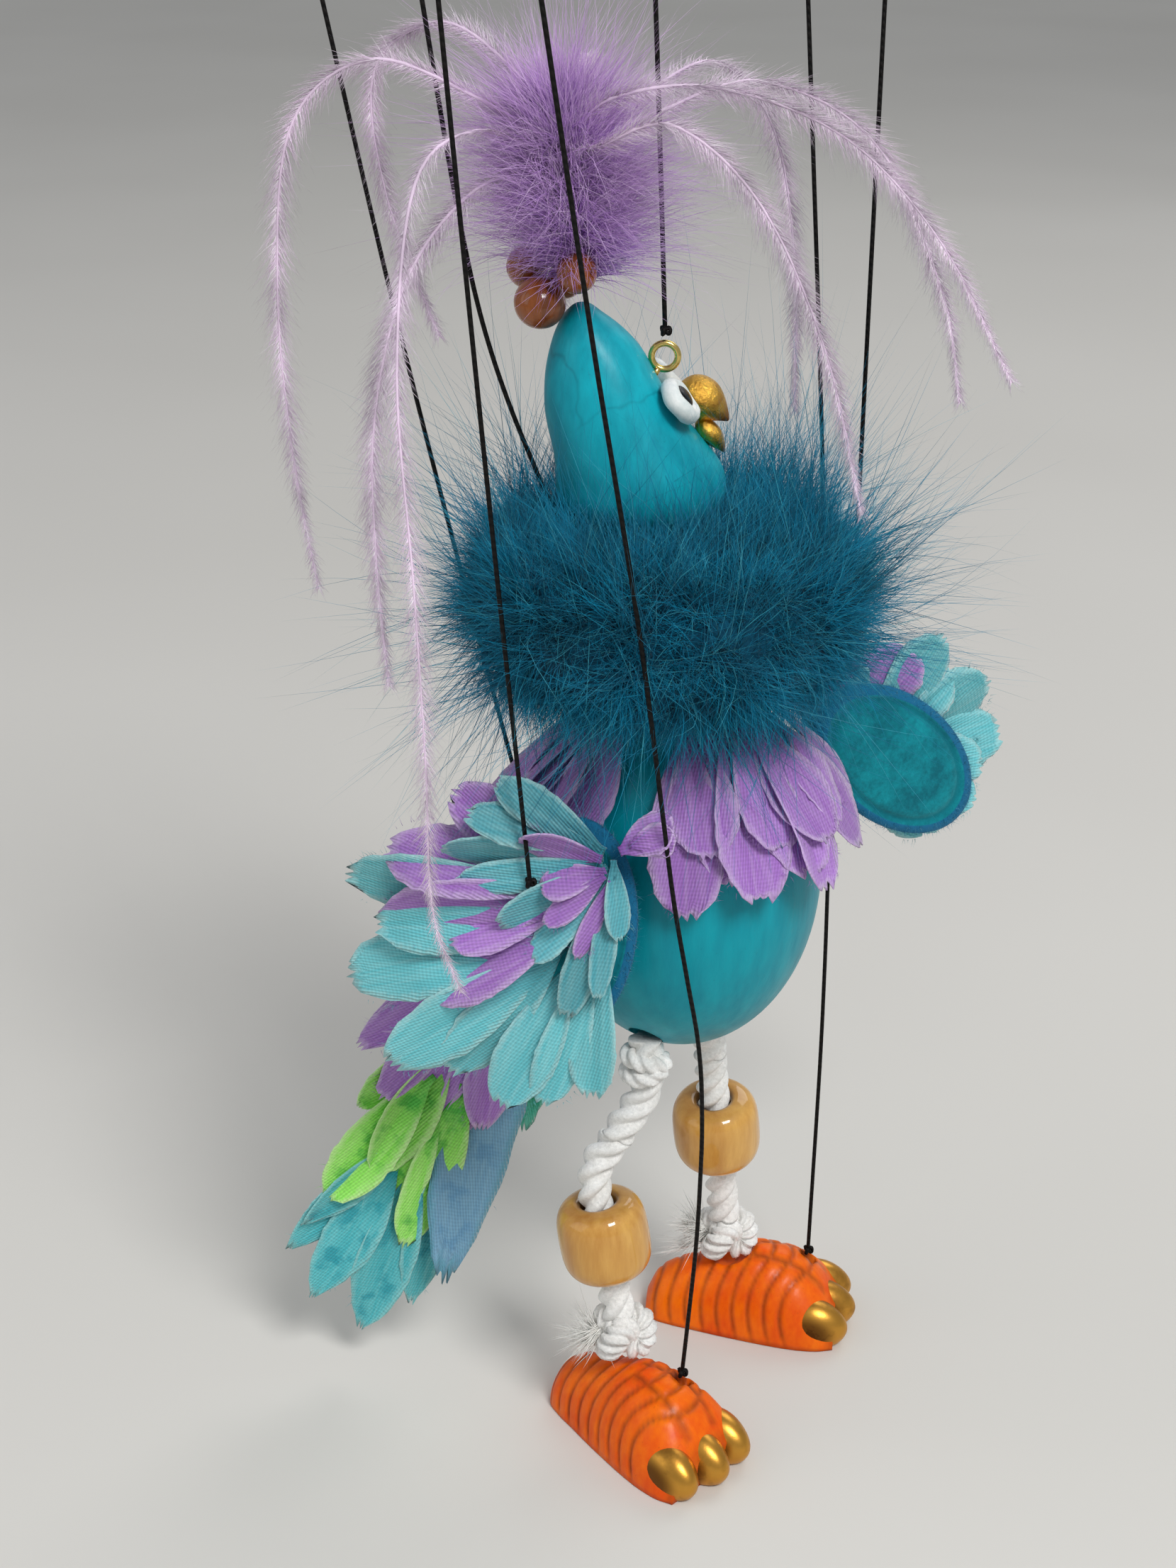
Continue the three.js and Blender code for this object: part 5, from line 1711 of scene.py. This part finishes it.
# ---------------------------------------------------------------- legs
@dataclass
class Leg:
    """A laid cotton rope with a bead, a knot at each end, and a ribbed foot."""

    side: str
    hip: Vector
    knee: Vector
    ankle: Vector
    heading: float
    bead_drop: float
    thread_hole: tuple[float, float]
    fray_way: Vector
    rope_radius: float = 3.1
    rope_turns: float = 4.6
    bead_radius: float = 9.7
    bead_length: float = 17.5
    foot_length: float = 48.5
    foot_width: float = 26.5
    ankle_from_heel: float = 18.0
    toe_spread: float = 7.8
    # Share of the length from the heel, share of the width, and height
    foot_rows: tuple = (
        (0, 0.3, 4), (0.04, 0.46, 8.5), (0.12, 0.58, 12), (0.24, 0.68, 14.5), (0.36, 0.78, 16.5),
        (0.5, 0.88, 19), (0.63, 0.96, 18.4), (0.75, 1, 16), (0.84, 0.98, 12), (0.91, 0.9, 7),
    )

    def build(self) -> None:
        """Makes the ropes, the knots, the bead and the foot."""
        self.build_rope()
        self.build_hip_knot()
        self.build_ankle_knot()
        self.build_bead()
        self.build_instep()
        self.build_toes()

    def build_rope(self) -> None:
        """Three lengths of one rope, cut between the hip and the knee and between the knee and the ankle."""
        top = self.hip + Vector((0, 0, 12))
        route = [top, self.hip, self.knee, self.ankle.lerp(self.knee, 0.12)]
        if self.side == "right":
            route.insert(2, self.hip.lerp(self.knee, 0.5) + Vector((-0.6, -0.5, 0)))
        path = smooth_path(route, 140)
        cuts = [0]
        for target in (self.hip.lerp(self.knee, 0.5), self.knee.lerp(self.ankle, 0.45)):
            cuts.append(min(range(len(path)), key=lambda i: (path[i] - target).length))
        cuts.append(len(path) - 1)
        names = ("upper_rope", "lower_rope", "shin")
        for index, name in enumerate(names):
            piece_path = path[cuts[index] : cuts[index + 1] + 1]
            share = [cuts[index] / (len(path) - 1), cuts[index + 1] / (len(path) - 1)]
            self.build_length(index, name, piece_path, share)

    def build_length(self, index: int, name: str, path: list[Vector], share: list[float]) -> None:
        """One length of the rope.

        Args:
            index: 0 at the hip, 1 at the knee and 2 at the shin.
            name: its name.
            path: the points that it follows.
            share: where it starts and ends on the whole rope.
        """
        mesh = bmesh.new()
        outline = strand_outline(self.rope_radius + 0.35)
        sweep(mesh, path, outline, 30, self.rope_turns * (share[1] - share[0]))
        nodes = {0: (f"{self.side}_upper_rope",), 1: (f"{self.side}_lower_rope",), 2: ()}[index]
        body = f"{self.side}_shin" if index == 2 else None
        piece = add_piece(f"{self.side}_{name}_strands", face_outwards(mesh), ROPE, body, nodes)
        if index == 0:
            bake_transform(piece)
        if index == 1:
            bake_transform(piece)

    def build_hip_knot(self) -> None:
        """A turn of rope pulled tight across the mouth of the hip hole."""
        mesh = bmesh.new()
        centre = self.hip + Vector((0, 0, 5.6))
        for lift, lean in ((-0.8, 0.16), (1.4, -0.1)):
            circle = [
                centre + Vector((3.5 * math.cos(t), 2.9 * math.sin(t), lift + lean * 8 * math.sin(t + 0.6)))
                for t in (math.tau * i / 48 for i in range(49))
            ]
            sweep(mesh, circle, strand_outline(2.1), 18, 3, closed=True)
        name = f"{self.side}_hip_knot"
        add_piece(name, face_outwards(mesh), ROPE, "torso", (f"{self.side}_hip_rope",))

    def build_ankle_knot(self) -> None:
        """An overhand knot of the same rope, with its end combed out."""
        mesh = bmesh.new()
        path = trefoil(self.ankle, 1.72, 1.7, 1.5, 110)
        sweep(mesh, path, strand_outline(2.9), 20, 9, closed=True)
        middle = Matrix.Translation(self.ankle)
        bmesh.ops.create_uvsphere(mesh, u_segments=20, v_segments=12, radius=4.4, matrix=middle)
        body = f"{self.side}_ankle"
        knot = f"{self.side}_rope_knot"
        add_piece(knot, face_outwards(mesh), ROPE, body, (f"{self.side}_ankle_knot",))
        barbs = Barbs(90 + len(self.side), segments=4)
        rng = barbs.rng
        end = np.array(self.ankle + self.fray_way * 5.0)
        for tassel in range(7):
            lean = np.array(self.fray_way) + rng.normal(size=3) * 0.35
            way = lean[None] + rng.normal(size=(46, 3)) * 0.12
            way /= np.linalg.norm(way, axis=1, keepdims=True)
            start = end + rng.normal(size=(46, 3)) * 0.5 + np.array([0, 0, 0.6 * (tassel - 3)])
            bend = rng.normal(size=(46, 3)) * 0.16 + rng.normal(size=3) * 0.15
            barbs.add(start, way, bend, rng.uniform(5, 9.5, 46), 0.2, rng.random(46))
        ways = barbs.random_ways(420)
        ways[:, 2] = np.abs(ways[:, 2]) - 0.2
        spots = np.array(self.ankle) + ways * 5.2
        bend = rng.normal(size=(420, 3)) * 0.6
        barbs.add(spots, ways, bend, rng.uniform(0.8, 2.2, 420), 0.035, rng.random(420))
        add_piece(f"{knot}_fray", barbs.mesh(f"{knot}_fray"), FLUFF, body)

    def build_bead(self) -> None:
        """A barrel bead turned from wood, with a rounded mouth at each end."""
        half, hole = self.bead_length / 2, self.rope_radius + 0.7
        crown = hole + 1.7
        levels = np.linspace(-1, 1, 41)
        profile = [(hole, -half + 0.9), (hole + 0.35, -half + 0.25), (hole + 1, -half)]
        for level in levels:
            barrel = crown + (self.bead_radius - crown) * (1 - abs(level) ** 5) ** 0.6
            profile.append((barrel - 0.5 * level**2 * (1 - level**6), level * half))
        profile += [(hole + 1, half), (hole + 0.35, half - 0.25), (hole, half - 0.9), (hole, -half + 0.9)]
        mesh = turned(profile, 64)
        groove = number_layer(mesh, "groove")
        # The groove number is painted shade in the mouths of the hole, and a lighter darkening towards the
        # ends.
        for vert in mesh.verts:
            away = math.hypot(vert.co.x, vert.co.y)
            if away < hole + 1.6:
                vert[groove] = smoothstep(hole + 1.6, hole + 0.4, away)
            else:
                vert[groove] = 0.35 * smoothstep(0.8, 1, abs(vert.co.z) / half)
        down = (self.ankle - self.knee).normalized()
        centre = self.knee + down * self.bead_drop
        turn = Vector((0, 0, 1)).rotation_difference(-down).to_matrix().to_4x4()
        mesh.transform(Matrix.Translation(centre) @ turn)
        name, nodes = f"{self.side}_wooden_bead", (f"{self.side}_leg_bead",)
        add_piece(name, mesh, VARNISH, f"{self.side}_bead", nodes)

    def foot_place(self) -> Matrix:
        """Puts a foot, made with its heel at the origin, on the ground under its ankle."""
        ground = Matrix.Translation((self.ankle.x, self.ankle.y, 0))
        heel = Matrix.Translation((-self.ankle_from_heel, 0, 0))
        return ground @ Matrix.Rotation(math.radians(self.heading), 4, "Z") @ heel

    def groove_depth(self, x: float, y: float, lift: float) -> float:
        """How deep the carved lines are at a point of the instep, from 0 to 1."""
        depth = 0.0
        for number in range(9):
            line = 3.6 + 4.3 * number - 0.05 * y * y * (0.5 + lift)
            weight = smoothstep(-0.2, 0.35, 1 - lift * 0.75) if 4 < number else 1
            depth = max(depth, weight * 0.8 * math.exp(-(((x - line) / 0.62) ** 2)))
        for start, end in (((41, 3.9), (29, 5.2)), ((41, -3.9), (25, -3.4)), ((33, 4.9), (24, 0.6))):
            away = segment_distance((x, y), start, end) / 0.62
            depth = max(depth, math.exp(-(away**2)) * smoothstep(0.2, 0.6, lift))
        return depth

    def build_instep(self) -> None:
        """The ribbed foot, hollowed for the knot and pierced for its thread."""
        mesh = bmesh.new()
        groove = number_layer(mesh, "groove")
        stations, around = 150, 72
        rows = self.dense_rows(stations + 1)
        ring = bmesh.ops.create_circle(mesh, segments=around, radius=1)["verts"]
        angles = [math.atan2(v.co.y, v.co.x) for v in ring]
        edges = list({e for v in ring for e in v.link_edges})
        first = list(ring)
        rings = [list(ring)]
        for _ in range(stations):
            ring, edges = grow_ring(mesh, ring, edges)
            rings.append(ring)
        hole_x, hole_y = self.thread_hole
        for (share, wide, high), verts in zip(rows, rings):
            for vert, angle in zip(verts, angles):
                lift = max(0.0, math.sin(angle))
                x, y = share * self.foot_length, self.foot_width * wide * math.cos(angle) / 2
                z = lift * high
                cut = self.groove_depth(x, y, lift) * smoothstep(0.02, 0.15, lift)
                inward = 1 - 0.6 * cut / max(4.0, math.hypot(y, z))
                y, z = y * inward, z * inward
                hole = math.hypot(x - hole_x, y - hole_y)
                pit = smoothstep(2.2, 1.5, hole) if hole < 2.2 else 0.0
                z -= pit * min(z, 5.5) * (1 if lift > 0 else 0)
                socket = math.hypot(x - self.ankle_from_heel, y)
                reach = 7.4
                if socket < reach and lift > 0:
                    z = min(z, max(1.0, self.ankle.z - math.sqrt(reach**2 - socket**2)))
                vert.co = (x, y, z)
                # Painted shade: the groove number darkens the carved lines, the rim of the thread pit and the
                # toe end.
                rim = smoothstep(3.0, 1.7, hole) if hole < 3.0 else 0.0
                vert[groove] = max(cut, rim, 0.5 * smoothstep(0.86, 0.9, share))
        for loop in (first, ring):
            bmesh.ops.contextual_create(mesh, geom=loop)
        mesh.transform(self.foot_place())
        foot = f"{self.side}_foot"
        add_piece(f"{self.side}_instep", face_outwards(mesh), ORANGE, foot, (foot,))

    def dense_rows(self, count: int) -> list[tuple[float, float, float]]:
        """The foot's rows at even steps of its length, smoothed."""
        table = np.array(self.foot_rows)
        shares = np.linspace(0, table[-1, 0], count)
        slopes = np.gradient(table[:, 1:], table[:, 0], axis=0)
        rows = []
        for share in shares:
            i = min(len(table) - 2, max(0, int(np.searchsorted(table[:, 0], share) - 1)))
            span = table[i + 1, 0] - table[i, 0]
            t = (share - table[i, 0]) / span
            value = (2 * t**3 - 3 * t**2 + 1) * table[i, 1:] + (t**3 - 2 * t**2 + t) * span * slopes[i]
            value = value + (-2 * t**3 + 3 * t**2) * table[i + 1, 1:] + (t**3 - t**2) * span * slopes[i + 1]
            rows.append((share, *value))
        return rows

    def build_toes(self) -> None:
        """Three round gold toes, darkened to bronze as painted shade in the gaps between them and behind them.
        """
        mesh = bmesh.new()
        groove = number_layer(mesh, "groove")
        radii = (8.6, 4.9, 6.6)
        for side in (-1, 0, 1):
            made = bmesh.ops.create_uvsphere(mesh, u_segments=48, v_segments=32, radius=1)["verts"]
            turn = Matrix.Rotation(math.radians(side * 5), 4, "Z")
            reach = self.foot_length - 8.4 - (1.4 if side else 0)
            move = Matrix.Translation((reach, side * self.toe_spread, 0))
            for vert in made:
                x, y, z = vert.co
                nail = smoothstep(0.1, 0.9, x) * 0.08
                height = max(0.0, 3.7 + radii[2] * z * (1 - 0.16 * x * x))
                place = Vector((radii[0] * x, radii[1] * y * (1 - nail), height))
                behind = smoothstep(-0.05, -0.5, x) if x < -0.05 else 0.0
                # Painted shade: the groove number darkens the toes' sides towards the gaps, and their backs
                # where they meet the foot.
                vert[groove] = max(smoothstep(0.62, 0.95, abs(y)) * 0.9, behind)
                vert.co = move @ turn @ place
        mesh.transform(self.foot_place())
        bmesh.ops.recalc_face_normals(mesh, faces=mesh.faces)
        add_piece(f"{self.side}_toes", mesh, TOE_GOLD, f"{self.side}_foot")


def segment_distance(point: tuple[float, float], start: tuple[float, float], end: tuple[float, float]) -> float:
    """How far a flat point is from a flat line between two points."""
    p, a, b = Vector(point), Vector(start), Vector(end)
    share = max(0.0, min(1.0, (p - a).dot(b - a) / (b - a).length_squared))
    return (p - (a + (b - a) * share)).length


# ---------------------------------------------------------------- studio
@dataclass
class Studio:
    """The camera, the floor and soft lights."""

    camera_place: Point = (0.18507, -0.41566, 0.038)
    yaw: float = 116.417
    pitch: float = -24.104
    lens: float = 56.77
    sensor: float = 36.0
    floor_size: float = 6.0

    def build_camera(self) -> None:
        """Looks down on the bird from its right front."""
        data = bpy.data.cameras.new("camera")
        data.sensor_fit = "VERTICAL"
        data.sensor_height = self.sensor
        data.lens = self.lens
        data.clip_start = 0.01
        camera = bpy.data.objects.new("camera", data)
        bpy.context.scene.collection.objects.link(camera)
        yaw, pitch = math.radians(self.yaw), math.radians(self.pitch)
        look = Vector((math.cos(yaw) * math.cos(pitch), math.sin(yaw) * math.cos(pitch), math.sin(pitch)))
        camera.location = self.camera_place
        camera.rotation_euler = look.to_track_quat("-Z", "Y").to_euler()
        bpy.context.scene.camera = camera

    def build(self) -> None:
        """Lays the floor and hangs the lights."""
        mesh = bmesh.new()
        bmesh.ops.create_grid(mesh, x_segments=8, y_segments=8, size=self.floor_size / 2)
        data = bpy.data.meshes.new("floor")
        mesh.to_mesh(data)
        mesh.free()
        data.materials.append(Floor().build())
        floor = bpy.data.objects.new("floor", data)
        floor.location = (0, 0, cad_box[0].z - 0.0002)
        bpy.context.scene.collection.objects.link(floor)
        lights = (
            ("key", (0.75, -0.55, 0.85), 0.4, 13),
            ("fill", (-0.9, -0.9, 0.45), 1.0, 2.5),
            ("back", (0.1, 1.1, 0.8), 0.8, 4),
        )
        target = Vector((0, 0, -0.15))
        for name, place, size, power in lights:
            light = bpy.data.lights.new(name, "AREA")
            light.energy = power
            light.size = size
            lamp = bpy.data.objects.new(name, light)
            lamp.location = place
            lamp.rotation_euler = (target - Vector(place)).to_track_quat("-Z", "Y").to_euler()
            bpy.context.scene.collection.objects.link(lamp)
        world = bpy.data.worlds.new("studio")
        world.use_nodes = True
        world.node_tree.nodes["Background"].inputs[0].default_value = (0.93, 0.96, 1.0, 1)
        world.node_tree.nodes["Background"].inputs[1].default_value = 0.4
        bpy.context.scene.world = world
        bpy.context.scene.view_settings.view_transform = "Standard"


THREADS = (
    Thread("right_foot_thread", "right_foot_string", [
        (10.67, -19.27, 18.14), (15, -22.5, 60), (17, -27.5, 100), (14.5, -35.5, 138),
        (10.8, -44.5, 196), (4, -50, 250),
        (-3.5, -55, 310.7)]),
    Thread("left_foot_thread", "left_foot_string", [
        (16.99, 37.7, 16.18), (17, 40.5, 80), (15.5, 42, 140), (10.5, 46, 190), (7.5, 46.5, 230),
        (2, 45, 310.7)]),
    Thread("right_wing_thread", "right_wing_string", [
        (-11.55, -44.56, 141.69), (-15.35, -52.62, 226.85), (-20, -58, 310.7)]),
    Thread("left_wing_thread", "left_wing_string", [
        (19.39, 41.08, 150.42), (19.66, 41.63, 231.2), (20, 42, 310.7)]),
    Thread("tail_thread", "tail_string", [(-37.5, 8, 118.5), (-60, -0.6, 222), (-77, -7, 310.7)]),
    Thread("back_thread", "torso", [
        (-21.4, -4.2, 172.33), (-19.6, -5.2, 186), (-21.6, -6.8, 196), (-25.2, -8.9, 204.5),
        (-36.5, -16, 244),
        (-46, -21, 310.7)]),
    Thread("head_thread", "head_string", [(-5.86, 1.19, 238.15), (-6.4, -1, 274), (-7, -3.5, 310.7)]),
)

LEGS = (
    Leg("right", Vector((-0.5, -15.5, 84.05)), Vector((-9.5, -21, 61)), Vector((-3.5, -19.5, 24.5)),
        -18, 12.6, (31.4, 4.6), Vector((-0.85, -0.45, -0.15)).normalized()),
    Leg("left", Vector((1, 14, 82.8)), Vector((-0.3, 18.8, 68.5)), Vector((0, 28.5, 21.5)),
        18, 15.0, (37, 3.5), Vector((-0.8, -0.5, 0.05)).normalized()),
)

WINGS = (
    Wing("right", (0.5, -31.5, 151), (-0.06, -0.16, -0.98), (-0.96, -0.26, 0.08), 1.0),
    Wing("left", (16, 24.54, 152), (0.5, 0.56, -0.66), (0.42, 0.57, 0.7), 0.58),
)


def main() -> None:
    """Builds the camera, the cords and then each sub-assembly."""
    logging.basicConfig(level=logging.INFO, format="%(name)s: %(message)s")
    studio = Studio()
    studio.build_camera()
    for thread in THREADS:
        thread.build()
    Body().build()
    Boa().build()
    head = Head()
    head.build()
    Plume(head).build()
    for wing in WINGS:
        wing.build()
    Tail().build()
    for leg in LEGS:
        leg.build()
    studio.build()


if __name__ == "__main__":
    main()
